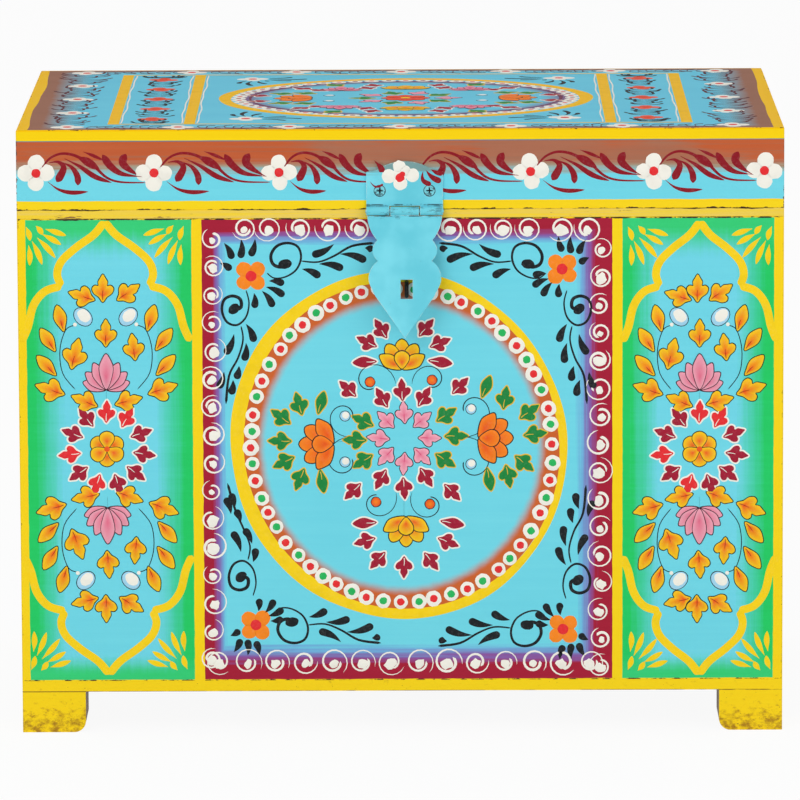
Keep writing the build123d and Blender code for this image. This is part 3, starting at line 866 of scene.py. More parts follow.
def hasp_coat():
    """Turquoise paint over sheet steel, light on its edges from worn paint and a painted highlight, grimy
    round the knuckles, with painted shade in the knuckles' gaps.
    """
    paint = Paint("hasp_paint")
    z = paint.z
    patch = paint.noise((26, 26, 26), 3.0, 0.55)
    color = paint.mix(paint.step(patch, 0.3, 0.7), HASP_BLUE, HASP_LIGHT)
    plate_top = node_high("hasp_plate")[2]
    drag = paint.waver((30, 10, 1.6), 7.0, 3.0, 0.6)
    dusted = paint.step(z + drag, plate_top - 8.0, plate_top - 4.5)
    color = paint.mix(dusted * 0.75, color, HASP_DUST)
    near_pin = paint.step(abs(z - HASP_PIN_Z), 2.0, 9.0)
    grime = paint.noise((9, 6, 4), 5.0, 0.7)
    share = paint.step(grime + (1 - near_pin) * 0.16, 0.66, 0.80)
    color = paint.mix(share * 0.6, color, HASP_GRIME)
    # Painted shade: broken dark lines at the gaps between the knuckles
    gap = abs(abs(z - HASP_PIN_Z - 0.4) - 3.2)
    line = paint.step(0.55 - gap, 0.0, 0.3) * paint.step(paint.noise((12, 6, 6), 4.0, 0.7), 0.44, 0.56)
    color = paint.mix(line * 0.85, color, KNUCKLE_GAP_SHADE)
    # Light edges: partly worn paint, partly a painted highlight along the rounded edges
    bevel = paint.tree.nodes.new("ShaderNodeBevel")
    bevel.samples = 6
    bevel.inputs["Radius"].default_value = 0.7 * MM
    normal = paint.tree.nodes.new("ShaderNodeNewGeometry").outputs["Normal"]
    facing = paint.tree.nodes.new("ShaderNodeVectorMath")
    facing.operation = "DOT_PRODUCT"
    paint.tree.links.new(bevel.outputs[0], facing.inputs[0])
    paint.tree.links.new(normal, facing.inputs[1])
    edge = paint.step(1 - Field(paint, facing.outputs["Value"]), 0.02, 0.18)
    worn_edge_and_highlight = edge * paint.step(paint.noise((5, 5, 5), 4.0, 0.7), 0.42, 0.6)
    color = paint.mix(worn_edge_and_highlight, color, HASP_EDGE_WEAR_AND_HIGHLIGHT)
    return paint.finish(color, 0.34, patch + grime * 0.5, 0.08)


def screw_coat():
    """Painted screw heads, paint-filled at the recess's arms, with painted shade in its middle and round the
    head's edge.
    """
    paint = Paint("hasp_screw_paint")
    depth = paint.y - HASP_PLATE_Y
    grime = paint.noise((1.5, 1.5, 1.5), 4.0, 0.7)
    color = paint.mix(paint.step(grime, 0.5, 0.62), SCREW_BLUE, SCREW_GRIME)
    middle = (node_low("hasp_screws")[0] + node_high("hasp_screws")[0]) / 2
    apart = node_high("hasp_screws")[0] - SCREW_HEAD - middle
    across = abs(paint.x - middle) - apart
    along = paint.z - (node_low("hasp_screws")[2] + SCREW_HEAD)
    reach = paint.reach(across, along)
    # Painted shade: a dark ring round the head's edge, where it meets the plate
    color = paint.mix(paint.step(reach + (grime - 0.5) * 0.5, 3.0, 3.3), color, SCREW_RIM_SHADE)
    # Painted shade in the middle of the recess; its outer arms are paint-filled
    filled = 1 - paint.step(reach, 0.9, 2.0) * 0.7
    color = paint.mix(paint.step(depth, 0.15, 0.5) * filled, color, SCREW_RECESS_SHADE)
    return paint.finish(color, 0.4, grime, 0.05)


def steel(name, color, rough, rust=0.3):
    paint = Paint(name)
    grime = paint.noise((3, 3, 3), 5.0, 0.7)
    mixed = paint.mix(paint.step(grime, 0.55, 0.75) * rust, color, RUST)
    return paint.finish(mixed, rough, grime, 0.04, metal=0.6)


def black_steel():
    paint = Paint("black_steel")
    grime = paint.noise((2, 2, 2), 5.0, 0.7)
    color = paint.mix(paint.step(grime, 0.45, 0.75), STAPLE_BLACK, STAPLE_GREY)
    return paint.finish(color, 0.36, grime, 0.05)


SIDE_PANELS = ((-147.0, -52.0), (-47.5, 47.5), (52.0, 147.0))
OVAL_CENTER = (3.0, MIDDLE_Y + 1.0)
OVAL_RADII = (115.0, 103.0)


# Ornament of the front, with places in pixels of the photograph
TOP_SWIRLS = (244, 268, 299, 329, 358, 389, 420, 450, 476, 502, 528, 561, 588)
RING_DOTS = 56


def border_swirls(brush):
    """Comma swirls round the centre panel."""
    chance = brush.random.uniform

    def put(px, py, radius, sizes, start, spread, way, turns=None):
        size = radius * chance(*sizes)
        first = start + chance(-spread, spread)
        swirl(brush, on_front(px, py), size, first, way, chance(*turns) if turns else 1.15)

    for i in range(16):
        put(213.0 + chance(-1.5, 1.5), 239 + 28.0 * i, 7.2, (0.82, 1.14), 100, 50,
            -1 if i % 3 else 1, (0.9, 1.4))
        put(600.5 + chance(-1.5, 1.5), 249 + 27.8 * i, 7.2, (0.84, 1.16), 80, 50,
            1 if i % 4 else -1, (0.9, 1.4))
    for px in TOP_SWIRLS:
        put(px, 228.5, 7.5, (0.9, 1.1), 185, 30, 1, (1.0, 1.5))
    for i in range(14):
        put(219 + 28.6 * i, 662, 7.4, (0.9, 1.15), -20, 30, 1 if i % 3 else -1)


def ring(brush, center, radii, width, color, skew=0.0, lean=0.0):
    """A flat band along the inside of an oval whose diagonals and sides may differ a little."""
    rows = []
    for i in range(160):
        turn = 2 * math.pi * i / 160
        wave = 0.35 * math.sin(5 * turn + 1.0) + 0.2 * math.sin(11 * turn)
        row = []
        band = width * (1 - lean * math.cos(turn))
        for inset, height in ((0.0, 0.0), (0.4, COAT), (band - 0.4, COAT), (band, 0.0)):
            grow = (wave if inset < band / 2 else -wave * 0.6) - inset - skew * math.sin(2 * turn)
            row.append(brush.point(*on_oval(center, radii, grow, turn), height, color))
        rows.append(row)
    for a, b in zip(rows, rows[1:] + rows[:1]):
        for k in range(3):
            brush.faces.append((a[k], a[k + 1], b[k + 1], b[k]))


def ring_and_dots(brush):
    """The yellow ring, and inside it white dots with red and green hearts."""
    ring(brush, RING_CENTER, RING_RADII, RING_WIDTH, YELLOW, RING_SKEW, RING_LEAN)
    for i in range(RING_DOTS):
        turn = 2 * math.pi * (i + 0.1 + brush.random.uniform(-0.09, 0.09)) / RING_DOTS
        inset = RING_WIDTH * (1 - RING_LEAN * math.cos(turn)) + 4.1
        inset += RING_SKEW * math.sin(2 * turn) + brush.random.uniform(-0.6, 0.6)
        spot = on_oval(RING_CENTER, RING_RADII, -inset, turn)
        disc(brush, spot, 4.6 * brush.random.uniform(0.90, 1.08), WHITE, 2, wobble=0.05)
        disc(brush, spot, 2.4, DOT_GREEN if i % 2 else RED, 3, wobble=0.08)


def bouquet(brush):
    """The flowers and leaves inside the ring."""
    middle = (404.0, 438.0)
    for i in range(8):
        spot = around(middle, 25.5, math.radians(45 * i))
        leaf(brush, on_front(*spot), 6.9, -45 * i, BOUQUET_PINK, BLACK, DEEP_PINK, BOUQUET_PINK_TIP,
             edge_width=0.35)

    def outward(px, py, root):
        return toward(on_front(*root), on_front(px, py))

    arms = (
        ((402, 355), 90, ((402, 390), (382, 398), (424, 397), (348, 389), (460, 386)),
         ((381, 329), (367, 342), (426, 328), (440, 343)), ((365, 362), (440, 362))),
        ((406, 532), -90, ((404, 488), (381, 479), (426, 477), (353, 491), (452, 492)),
         ((365, 541), (378, 560), (404, 567), (431, 561), (448, 542)), ((365, 523), (452, 523))),
    )
    maroon = dict(color=MAROON, edge=WHITE, vein=WHITE)
    for flower, way, inner, outer, simple in arms:
        root = (flower[0], flower[1] + (6 if way > 0 else -6))
        for px, py in inner:
            leaf(brush, on_front(px, py), 7.0, outward(px, py, middle), **maroon)
        for px, py in outer:
            leaf(brush, on_front(px, py), 6.9, outward(px, py, root), **maroon)
        for px, py in simple:
            leaf(brush, on_front(px, py), 7.4, 188 if px < 404 else -8, simple=True, **maroon)
        base = on_front(flower[0], flower[1] + (14 if way > 0 else -15))
        fan(brush, base, 15.8, way, ORANGE_LOTUS, LEAF_ORANGE, LEAF_YELLOW, BLACK, edge_width=0.45)
    for flower, way, inner, outer, simple in (
        ((313, 444), 180, ((355, 440), (363, 421), (363, 461)),
         ((299, 404), (281, 417), (280, 441), (284, 462), (300, 479)), ((321, 403), (322, 481))),
        ((498, 438), 0, ((456, 436), (446, 415), (445, 460)),
         ((505, 398), (529, 412), (535, 434), (524, 463), (508, 476)), ((486, 387), (489, 479))),
    ):
        green = dict(color=LEAF_GREEN, edge=LEAF_EDGE, vein=LEAF_EDGE, edge_width=0.55)
        for px, py in inner:
            leaf(brush, on_front(px, py), 7.2, outward(px, py, middle), **green)
        for px, py in outer:
            leaf(brush, on_front(px, py), 7.2, outward(px, py, flower), **green)
        for px, py in simple:
            leaf(brush, on_front(px, py), 7.2, 75 if py < 440 else -75, simple=True, **green)
        shift = 20 if way == 180 else -19
        fan(brush, on_front(flower[0] + shift, flower[1]), 17.8, way, ORANGE_LOTUS, SIDE_LOTUS,
            SIDE_LOTUS_TIP, BLACK, edge_width=0.45)
    # Beads on thin curls
    for px, py, way in ((370, 382, 1), (432, 380, -1), (376, 502, -1), (430, 504, 1)):
        spot = on_front(px, py)
        start = on_front(404 - 8 * (1 if px < 404 else -1), 384 if py < 440 else 492)
        curl_to(brush, start, spot, 3.2, way)
        disc(brush, spot, 3.3, BLACK, 1)
        disc(brush, spot, 2.9, LEAF_ORANGE, 2, heart_color=ORANGE)
    for px, py, way in ((345, 416, 1), (345, 462, -1), (471, 409, -1), (471, 464, 1)):
        spot = on_front(px, py)
        start = on_front(350 if px < 404 else 462, 437)
        curl_to(brush, start, spot, 3.4, -way)
        pearl(brush, spot, 3.0)
    for start, end in (((326, 443), (346, 441)), ((466, 437), (486, 437)), ((404, 498), (404, 516))):
        brush.stroke([on_front(*start), on_front(*end)], 0.5, BLACK)


# Marks of a corner, in pixels of the photograph from its flower, for the top left one
CORNER_SPIRALS = (
    ((16, -3), (23, 2), (34, 1), (45, -6), (50, -18), (47, -29), (37, -33), (26, -30), (20, -21),
     (22, -12), (30, -9), (38, -13)),
    ((-5, 14), (-2, 27), (-5, 41), (-14, 49), (-24, 46), (-29, 35), (-27, 24), (-19, 20), (-11, 23),
     (-10, 31), (-16, 34)),
)
CORNER_STEMS = (((50, -15), (67, -14), (83, -20), (101, -30), (123, -33)),
                ((-10, 50), (-8, 64), (-13, 82), (-22, 100), (-25, 128)))
CORNER_RAYS = (((-27, -33), (-19, -17)), ((-10, -37), (-11, -18)), (( 4, -37), (-1, -20)),
               ((-31, -13), (-20, -6)), ((18, 5), (33, 8)), ((15, 11), (33, 20)),
               ((11, 15), (22, 31)), ((3, 17), (3, 32)))
CORNER_LEAVES = (((83, -32), (61, -21)), ((89, -22), (115, -15)), ((68, -12), (92, -7)),
                 ((51, -7), (69, 1)), ((114, -28), (122, -26)), ((-17, 58), (-26, 78)),
                 ((-5, 48), (3, 66)), ((-5, 67), (-3, 87)), ((-12, 90), (-10, 105)),
                 ((-27, 96), (-33, 112)), ((-18, 104), (-15, 120)))


def spandrel(brush, flower, vine_spot, flip_x, flip_y, ray_share):
    """Flower, tendrils and leaves in one corner, kept clear of the ring."""
    def at(spot, dx, dy):
        u, v = on_front(spot[0] + dx * flip_x, spot[1] + dy * flip_y)
        du, dv = u - RING_CENTER[0], v - RING_CENTER[1]
        reach = math.hypot(du / (RING_RADII[0] + 4.0), dv / (RING_RADII[1] + 4.0))
        push = 1 / min(reach, 1.0)
        return RING_CENTER[0] + du * push, RING_CENTER[1] + dv * push

    four_petals(brush, on_front(*flower), 10.0, ORANGE, RED, 45, heart_share=0.34)
    bend = 0.08 * flip_x * flip_y
    for line in CORNER_SPIRALS:
        brush.stroke(smooth([at(vine_spot, *p) for p in line]), 1.5, BLACK, 1, 0.5, 1.5)
    disc(brush, at(vine_spot, 34, -12), 2.9, BLACK, stretch=1.4, angle=10 * flip_x)
    disc(brush, at(vine_spot, -17, 33), 2.9, BLACK, stretch=1.3, angle=40)
    for line in CORNER_STEMS:
        brush.stroke(smooth([at(vine_spot, *p) for p in line]), 1.5, BLACK, 1, 0.6, 1.1)
    for ends in CORNER_RAYS:
        a, b = (at(flower, dx * ray_share, dy * ray_share) for dx, dy in ends)
        drop(brush, a, b, 4.4, BLACK, bend)
    for a, b in CORNER_LEAVES:
        drop(brush, at(vine_spot, *a), at(vine_spot, *b), 4.6, BLACK, bend)


SPANDRELS = (((251, 276), (251, 276), 1, 1, 1.0), ((562, 269), (562, 276), -1, 1, 0.88),
             ((256, 625), (258, 610), 1, -1, 0.82), ((563, 629), (561, 613), -1, -1, 0.82))


def corner_vines(brush):
    for corner in SPANDRELS:
        spandrel(brush, *corner)


# Ornament of an arched panel, in its own millimetres: across from its middle, and up from its middle
ARCH_WIDTH = 99.1
FRONT_ARCH_MIDDLES = {"left": 107.0, "right": 699.5}
ARCH_HALF = ((0.0, 137.5), (6.5, 129.5), (17.5, 121.5), (26.0, 113.5), (28.6, 105.5), (26.0, 98.5),
             (36.0, 95.5), (43.0, 87.0), (46.5, 74.0), (50.5, 65.0))
# Brush marks in an arched panel's corner, from where they start to where they end
ARCH_RAYS = (((13.5, 4.5), (26.0, 8.5)), ((11.5, 7.5), (23.0, 14.0)), ((8.5, 9.5), (19.5, 22.0)),
             ((5.5, 11.5), (11.5, 26.0)), ((3.5, 14.0), (4.0, 26.5)), ((8.0, 2.5), (12.0, 8.0)),
             ((2.0, 3.0), (4.5, 11.5)))


def arch(brush, center, width_share, up):
    """Half of a panel's yellow frame, with brush marks in its two corners."""
    for side in (-1, 1):
        half = [(center[0] + side * u * width_share, center[1] + up * v) for u, v in ARCH_HALF]
        for part in (half[:6], half[5:]):
            brush.stroke(smooth(part, steps=6), 4.8, YELLOW)
        corner = (center[0] + side * 49.0 * width_share, center[1] + up * 137.5)
        for a, b in ARCH_RAYS:
            line = [(corner[0] - side * u, corner[1] - up * v)
                    for u, v in (a, ((a[0] + b[0]) / 2 + 0.5, (a[1] + b[1]) / 2), b)]
            mark(brush, line, 3.4, YELLOW, 0.55)


def plant(brush, center, up, width_share):
    """Leaves round a pink lotus, above or below the panel's rosette."""
    def at(u, v):
        return center[0] + u * width_share, center[1] + up * v

    way = 90 * up
    warm = dict(color=WARM_LEAF, edge=BLACK, vein=WARM_VEIN, tip=LEAF_YELLOW, edge_width=0.42,
                vein_width=0.35, heart=-0.5)
    for u, v, angle, size in ((-1.5, 97.0, 0, 8.4), (-14.0, 92.5, 72, 8.2), (13.5, 94.5, -60, 8.2)):
        leaf(brush, at(u, v), size, way + angle * up, **warm)
    leaf(brush, at(0.0, 70.0), 8.4, way, **warm)
    leaf(brush, at(-18.5, 57.5), 9.6, way - 14 * up, **warm)
    leaf(brush, at(16.5, 61.5), 8.2, way + 6 * up, **warm)
    for side in (-1, 1):
        for u, v, angle in ((27.0, 79.0, 18), (34.5, 66.0, 32), (35.5, 50.5, 42)):
            leaf(brush, at(side * u, v), 8.2, way - side * angle * up, simple=True, **warm)
        leaf(brush, at(side * 33.5, 36.0), 9.2, way - side * 68 * up, **warm)
        leaf(brush, at(side * 13.0, 29.0), 8.4, way - side * 72 * up, **warm)
        line = [at(side * u, v) for u, v in ((18.5, 36.0), (26.0, 46.0), (27.5, 60.0), (24.0, 72.0),
                                             (18.5, 75.0))]
        brush.stroke(smooth(line), 0.55, BLACK)
        pearl(brush, at(side * 13.5, 80.0), 4.7, stretch=1.3, angle=way - side * 45 * up)
        disc(brush, at(side * 18.3, 75.4), 1.2, WHITE, 4, sides=10)
    base = at(0.0, 36.0)
    fan(brush, base, 17.0, way, PINK_LOTUS, ARCH_LOTUS, ARCH_LOTUS_TIP, ARCH_LOTUS_EDGE, 0.4)
    brush.stroke([base, at(0.0, 29.0)], 0.5, BLACK)


def rosette(brush, center):
    """Six yellow petals with eleven dark leaves round them."""
    petal = [(x, y * 1.35) for x, y in whole(ROUND_HALF)]
    for i in range(6):
        edged(brush, petal, center, 10.8, 30 + 60 * i, LEAF_ORANGE, BLACK, 0.35, 1 + i % 2, LEAF_YELLOW,
              heart=(0.42, 0))
    disc(brush, center, 1.7, LEAF_ORANGE, 4)
    for i in range(11):
        turn = 90 + 360 / 11 * i
        leaf(brush, around(center, 22.5, math.radians(turn)), 7.0, turn,
             RED if i in (0, 3, 5, 10) else MAROON, WHITE, WHITE)


def arched_panel(brush, center, width):
    """A panel's arches, plants and rosette, drawn for its width."""
    for up in (1, -1):
        arch(brush, center, width / ARCH_WIDTH, up)
        plant(brush, center, up, width / ARCH_WIDTH)
    rosette(brush, center)


def front_arch(name, brush):
    a, b = FRONT_PANELS[name]
    arched_panel(brush, on_front(FRONT_ARCH_MIDDLES[name], 449.0), b - a)


def side_arches(brush):
    for a, b in SIDE_PANELS:
        arched_panel(brush, ((a + b) / 2, (PANEL_LOW + PANEL_HIGH) / 2), b - a)


# Ornament of the lid's walls, with places on its front in pixels of the photograph
LID_FLOWER_ROW = 172.0
LID_FLOWER_Z = on_front(400, LID_FLOWER_ROW)[1]
LID_FRONT_FLOWERS = (35, 154, 279, 530.6, 653.8, 769.9)
LID_SIDE_FLOWERS = (-132, -66, 0, 66, 132)
PLATE_PETALS = ((388.8, 175.8, 4.3), (412.4, 174.8, 4.1), (400.2, 182.8, 4.2), (399.2, 166.4, 3.8),
                (404.2, 170.6, 3.6), (400.4, 175.0, 4.0))
PLATE_MARKS = (((379, 163), (383, 172), 2.8, 0.1), ((374, 160), (381, 172), 2.2, 0.1),
               ((370, 181), (383, 184), 1.3, -0.3), ((423, 171), (431, 184), 3.0, -0.3),
               ((426, 170), (441, 181), 3.6, -0.1), ((431, 169), (443, 173), 3.2, -0.1))


def vine(brush, start, end, z):
    """A wavy stem and its brush marks between two flowers."""
    def at(share, rise):
        return start + (end - start) * share, z + rise

    for points, first, last in VINE_STEMS:
        brush.stroke(smooth([at(*p) for p in points], steps=6), 1.6, DARK_RED, 1, first, last)
    for points, width, peak in VINE_MARKS:
        mark(brush, [at(*p) for p in points], width, DARK_RED, peak)


def vines(brush, spots, z):
    """Vines between flowers that stand in a row."""
    for a, b in zip(spots, spots[1:]):
        vine(brush, a, b, z + 0.5)


# A vine's stems and marks: places as a share of the way between flowers and a rise in millimetres
VINE_STEMS = (
    (((0.05, 3.0), (0.12, 8.5), (0.21, 11.2), (0.31, 10.6), (0.40, 7.8)), 0.7, 1.2),
    (((0.50, 3.4), (0.60, -3.2), (0.72, -5.9), (0.93, -6.3)), 1.2, 0.4),
)
VINE_MARKS = (
    (((0.34, 9.6), (0.43, 6.6), (0.54, 1.4)), 5.0, 0.5),
    (((0.40, 12.4), (0.48, 10.2), (0.58, 7.0)), 2.0, 0.5),
    (((0.90, -2.8), (0.73, -1.0), (0.63, 3.8), (0.565, 10.6)), 4.4, 0.84),
    (((0.90, -3.0), (0.79, 1.6), (0.735, 6.0), (0.765, 11.0)), 4.8, 0.82),
    (((0.11, 5.8), (0.19, 6.2), (0.235, 2.4), (0.175, -5.8)), 4.7, 0.86),
    (((0.21, 6.4), (0.30, 3.2), (0.350, -2.2), (0.355, -7.8)), 3.9, 0.84),
    (((0.24, 8.4), (0.37, 3.6), (0.50, -2.6), (0.64, -6.2)), 3.2, 0.62),
    (((0.10, -5.6), (0.19, -10.2), (0.30, -12.1), (0.44, -11.6)), 2.6, 0.66),
)


def lid_side_flowers(brush):
    for u in LID_SIDE_FLOWERS:
        four_petals(brush, (u, LID_FLOWER_Z), 10.6 * brush.random.uniform(0.95, 1.04), WHITE, RED,
                    brush.random.uniform(-8, 8))
    vines(brush, LID_SIDE_FLOWERS, LID_FLOWER_Z)


def lid_front_flowers(brush):
    """Flowers of the lid's front, with the vines parted where the hasp plate sits."""
    edge = RIGHT_X - 11.8
    spots = [max(-edge, min(edge, on_front(px, LID_FLOWER_ROW)[0])) for px in LID_FRONT_FLOWERS]
    parting = [on_front(px, LID_FLOWER_ROW)[0] for px in (386, 416)]
    vines(brush, spots[:3] + parting[:1], LID_FLOWER_Z)
    vines(brush, parting[1:] + spots[3:], LID_FLOWER_Z)
    for u in spots:
        four_petals(brush, (u, LID_FLOWER_Z), 10.6, WHITE, RED, brush.random.uniform(-8, 8))


def plate_flower(brush):
    """The white flower and the ends of the vines, painted over the hasp plate."""
    for px, py, radius in PLATE_PETALS:
        disc(brush, on_front(px, py), radius, WHITE, 1, wobble=0.06)
    disc(brush, on_front(400.0, 177.2), 2.8, RED, 2, wobble=0.08)
    disc(brush, on_front(402.4, 173.8), 1.7, RED, 2.5, wobble=0.08)
    for start, end, width, bend in PLATE_MARKS:
        drop(brush, on_front(*start), on_front(*end), width, DARK_RED, bend)


# Ornament of the lid top
LID_FLOWER_INSET = 15.0
LID_BAR_INSET = 27.5
LID_BARS = (171.6, 126.2)


def top_flower(brush, center, radius, color=WHITE, heart=RED):
    four_petals(brush, center, radius, color, heart, brush.random.uniform(-10, 10), heart_share=0.3)


def sprig(brush, start, end, color, count, size, width):
    """Brush marks on both sides of a line between two flowers."""
    angle = toward(start, end)
    for i in range(count):
        share = (i + 0.6) / (count + 0.2)
        spot = (start[0] + (end[0] - start[0]) * share, start[1] + (end[1] - start[1]) * share)
        for side in (-1, 1):
            turn = math.radians(angle + side * (42 + brush.random.uniform(-24, 24)))
            reach = size * brush.random.uniform(0.75, 1.3)
            tip = (spot[0] + reach * math.cos(turn), spot[1] + reach * math.sin(turn))
            drop(brush, spot, tip, width, color, 0.25 * side)


def wavy(brush, x, low, high, color):
    rows = [low + (high - low) * i / 60 for i in range(61)]
    path = [(x + 0.35 * math.sin(y * 0.11) + 0.45 * math.sin(y * 0.043 + x), y) for y in rows]
    brush.stroke(path, 0.9, color, 2)


def lid_top_border(brush):
    """White flowers and dark sprigs round the edge of the lid top."""
    front = FRONT_Y + LID_FLOWER_INSET
    rear = BACK_Y - LID_FLOWER_INSET
    columns = [front + (rear - front) * i / 4 for i in range(5)]
    rows = [LEFT_X + 30 + (RIGHT_X - LEFT_X - 60) * i / 6 for i in range(7)]
    for side in (-1, 1):
        x = side * (RIGHT_X - 30)
        for y in columns:
            top_flower(brush, (x, y), 9.6)
        for a, b in zip(columns, columns[1:]):
            sprig(brush, (x, a + 6), (x, b - 6), LID_TOP_DARK, 9, 15.0, 1.7)
    for y in (front - 2.0, rear + 2.0):
        for x in rows[1:-1]:
            top_flower(brush, (x, y), 9.4)
        for a, b in zip(rows, rows[1:]):
            sprig(brush, (a + 9, y), (b - 9, y), LID_TOP_DARK, 9, 8.5, 1.8)


def lid_top_bars(brush):
    """Yellow bars, wavy white lines and the columns of orange flowers."""
    low = FRONT_Y + LID_BAR_INSET
    high = BACK_Y - LID_BAR_INSET
    for side in (-1, 1):
        for x in LID_BARS:
            brush.stroke([(side * x, low), (side * x, high)], 6.8, LID_TOP_YELLOW, 1, round_ends=False)
            wavy(brush, side * (x - 4.8), low + 2, high - 2, WHITE)
        wavy(brush, side * 131.0, low + 2, high - 2, WHITE)
        middle = side * 149.0
        spots = [low + (high - low) * (i + 0.5) / 5 for i in range(5)]
        for y in spots:
            top_flower(brush, (middle, y), 9.0, BAR_FLOWER, BAR_FLOWER_HEART)
        for a, b in zip([low - 20] + spots, spots + [high + 20]):
            sprig(brush, (middle, max(a + 9, low + 2)), (middle, min(b - 9, high - 12)), BLACK, 6, 12.5, 1.9)
    for y in (low, high):
        brush.stroke([(-175, y), (175, y)], 2.6, BAR_END_YELLOW, 2, round_ends=False)


# Leaves of the oval as steps from its middle, and the directions and lengths of the marks at its corners
OVAL_LEAVES = ((62, 26, LEAF_GREEN), (76, 24, LEAF_GREEN), (24, 52, MAROON), (54, 42, MAROON),
               (20, 66, MAROON), (44, 68, LEAF_GREEN), (90, 14, MAROON), (64, 50, MAROON))
OVAL_CORNER_MARKS = ((180, 34), (200, 26), (160, 26), (270, 34), (250, 26), (290, 24), (225, 15))


def lid_top_oval(brush):
    """The oval ring with its flowers, and the marks outside its corners."""
    ring(brush, OVAL_CENTER, OVAL_RADII, 8.0, LID_TOP_YELLOW)
    for i in range(60):
        spot = on_oval(OVAL_CENTER, OVAL_RADII, -12.5, 2 * math.pi * i / 60)
        disc(brush, spot, 4.7, WHITE, 1, sides=14)
        disc(brush, spot, 1.9, RED if i % 2 else DARK_RED, 2, sides=10)
    inside = (OVAL_RADII[0] - 18.5, OVAL_RADII[1] - 18.5)
    ring(brush, OVAL_CENTER, inside, 2.0, OVAL_LINE)
    cx, cy = OVAL_CENTER
    for i in range(10):
        spot = around(OVAL_CENTER, 26, math.radians(36 * i))
        leaf(brush, spot, 8.4, 36 * i, LEAF_GREEN if i % 2 else PINK, LEAF_EDGE if i % 2 else BLACK,
             edge_width=0.5)
    for i in range(8):
        edged(brush, whole(ROUND_HALF), OVAL_CENTER, 15.0, 45 * i, RED, BLACK, 0.35, 1 + i % 2,
              OVAL_PETAL_TIP, heart=(0.4, 0))
    disc(brush, OVAL_CENTER, 3.0, LEAF_YELLOW, 4)
    for side in (-1, 1):
        spot = (cx + side * 68, cy)
        fan(brush, (spot[0] - side * 10, spot[1]), 20.0, 0 if side > 0 else 180, ORANGE_LOTUS,
            LOTUS_ORANGE, LOTUS_TIP, BLACK)
        for dy in (-1, 1):
            fan(brush, (cx + side * 40, cy + dy * 38), 16.0, 90 * dy, PINK_LOTUS, DEEP_PINK, PINK, BLACK)
            for dx, dv, color in OVAL_LEAVES:
                place = (cx + side * dx, cy + dy * dv)
                leaf(brush, place, 7.6, toward(OVAL_CENTER, place), color,
                     LEAF_EDGE if color is LEAF_GREEN else WHITE)
            pearl(brush, (cx + side * 47, cy + dy * 14), 3.4)
    for dy in (-1, 1):
        fan(brush, (cx, cy + dy * 44), 18.0, 90 * dy, ORANGE_LOTUS, LEAF_ORANGE, LEAF_YELLOW, BLACK)
    for sx in (-1, 1):
        for sy in (-1, 1):
            spot = (cx + sx * 96, cy + sy * 101)
            top_flower(brush, spot, 9.6)
            for off, length in OVAL_CORNER_MARKS:
                turn = math.radians(off)
                way = (sx * math.cos(turn), sy * math.sin(turn))
                start, end = ((spot[0] + way[0] * reach, spot[1] + way[1] * reach) for reach in (11, length))
                drop(brush, start, end, 3.2, BLACK, 0.12 * sx * sy)


# Settings shown in the sidebar
class BoxPaintSettings(bpy.types.PropertyGroup):
    """Choices for the box's ornament."""

    side_ornament: bpy.props.BoolProperty(
        name="Side ornament", description="Paint arched panels on both side walls", default=True)
    seed: bpy.props.IntProperty(
        name="Seed", description="Start of the small irregularities of the brush", default=7, min=0)


class BoxStageSettings(bpy.types.PropertyGroup):
    """Choices for the floor and lamps."""

    key_power: bpy.props.FloatProperty(
        name="Key lamp", description="Power of the large lamp at the upper left", default=46.0, min=0.0,
        unit="POWER")
    world_strength: bpy.props.FloatProperty(
        name="World strength", description="Strength of the even light from all around", default=0.56,
        min=0.0)
    floor_size: bpy.props.FloatProperty(
        name="Floor size", description="Width of the floor", default=30.0, min=1.0, unit="LENGTH",
        subtype="DISTANCE")


MOTIF_PAINTS = {"motif_paint": (0.4, 0.16), "lid_top_motif_paint": (0.6, 0.05)}
FRONT_PIECES = (("front_border_swirls", border_swirls), ("front_ring_and_dots", ring_and_dots),
                ("front_bouquet", bouquet), ("front_corner_vines", corner_vines))
LID_TOP_PIECES = (("lid_top_border", lid_top_border), ("lid_top_bars", lid_top_bars),
                  ("lid_top_oval", lid_top_oval))
SIDE_FACES = (("left", left_face), ("right", right_face))


def ornament(name, face, seed, draw, body, paint="motif_paint"):
    """Draws one piece of ornament and puts it on its body."""
    brush = Brush(name, face, seed)
    draw(brush)
    material = bpy.data.materials.get(paint) or motif_paint(paint, *MOTIF_PAINTS[paint])
    brush.build(material, body)


def dress(nodes, material):
    for node in nodes:
        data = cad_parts[node].data
        data.materials.clear()
        data.materials.append(material)


class PAINTEDBOX_OT_boards(bpy.types.Operator):
    """Give the boards, laths and feet their ground coats"""

    bl_idname = "paintedbox.boards"
    bl_label = "Ground coats"

    def execute(self, context):
        dress(("front_panel",), front_coat())
        dress(("left_panel", "right_panel"), side_coat())
        dress(("back_panel",), back_coat())
        long_lid = lid_wall_coat("lid_long_wall_paint", "x")
        dress(("lid_front", "lid_back"), long_lid)
        dress(("lid_left", "lid_right"), lid_wall_coat("lid_short_wall_paint", "y"))
        dress(("lid_top", "lid_top_nails"), lid_top_coat())
        dress(("rim_front", "rim_back"), rim_coat("rim_long_paint", "x"))
        dress(("rim_left", "rim_right"), rim_coat("rim_short_paint", "y"))
        base = base_coat()
        dress(("bottom_panel", "foot_front_left", "foot_front_right", "foot_back_left",
               "foot_back_right"), base)
        dress(("carcass_nails",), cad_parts["front_panel"].data.materials[0])
        dress(("lid_corner_nails",), long_lid)
        return {"FINISHED"}


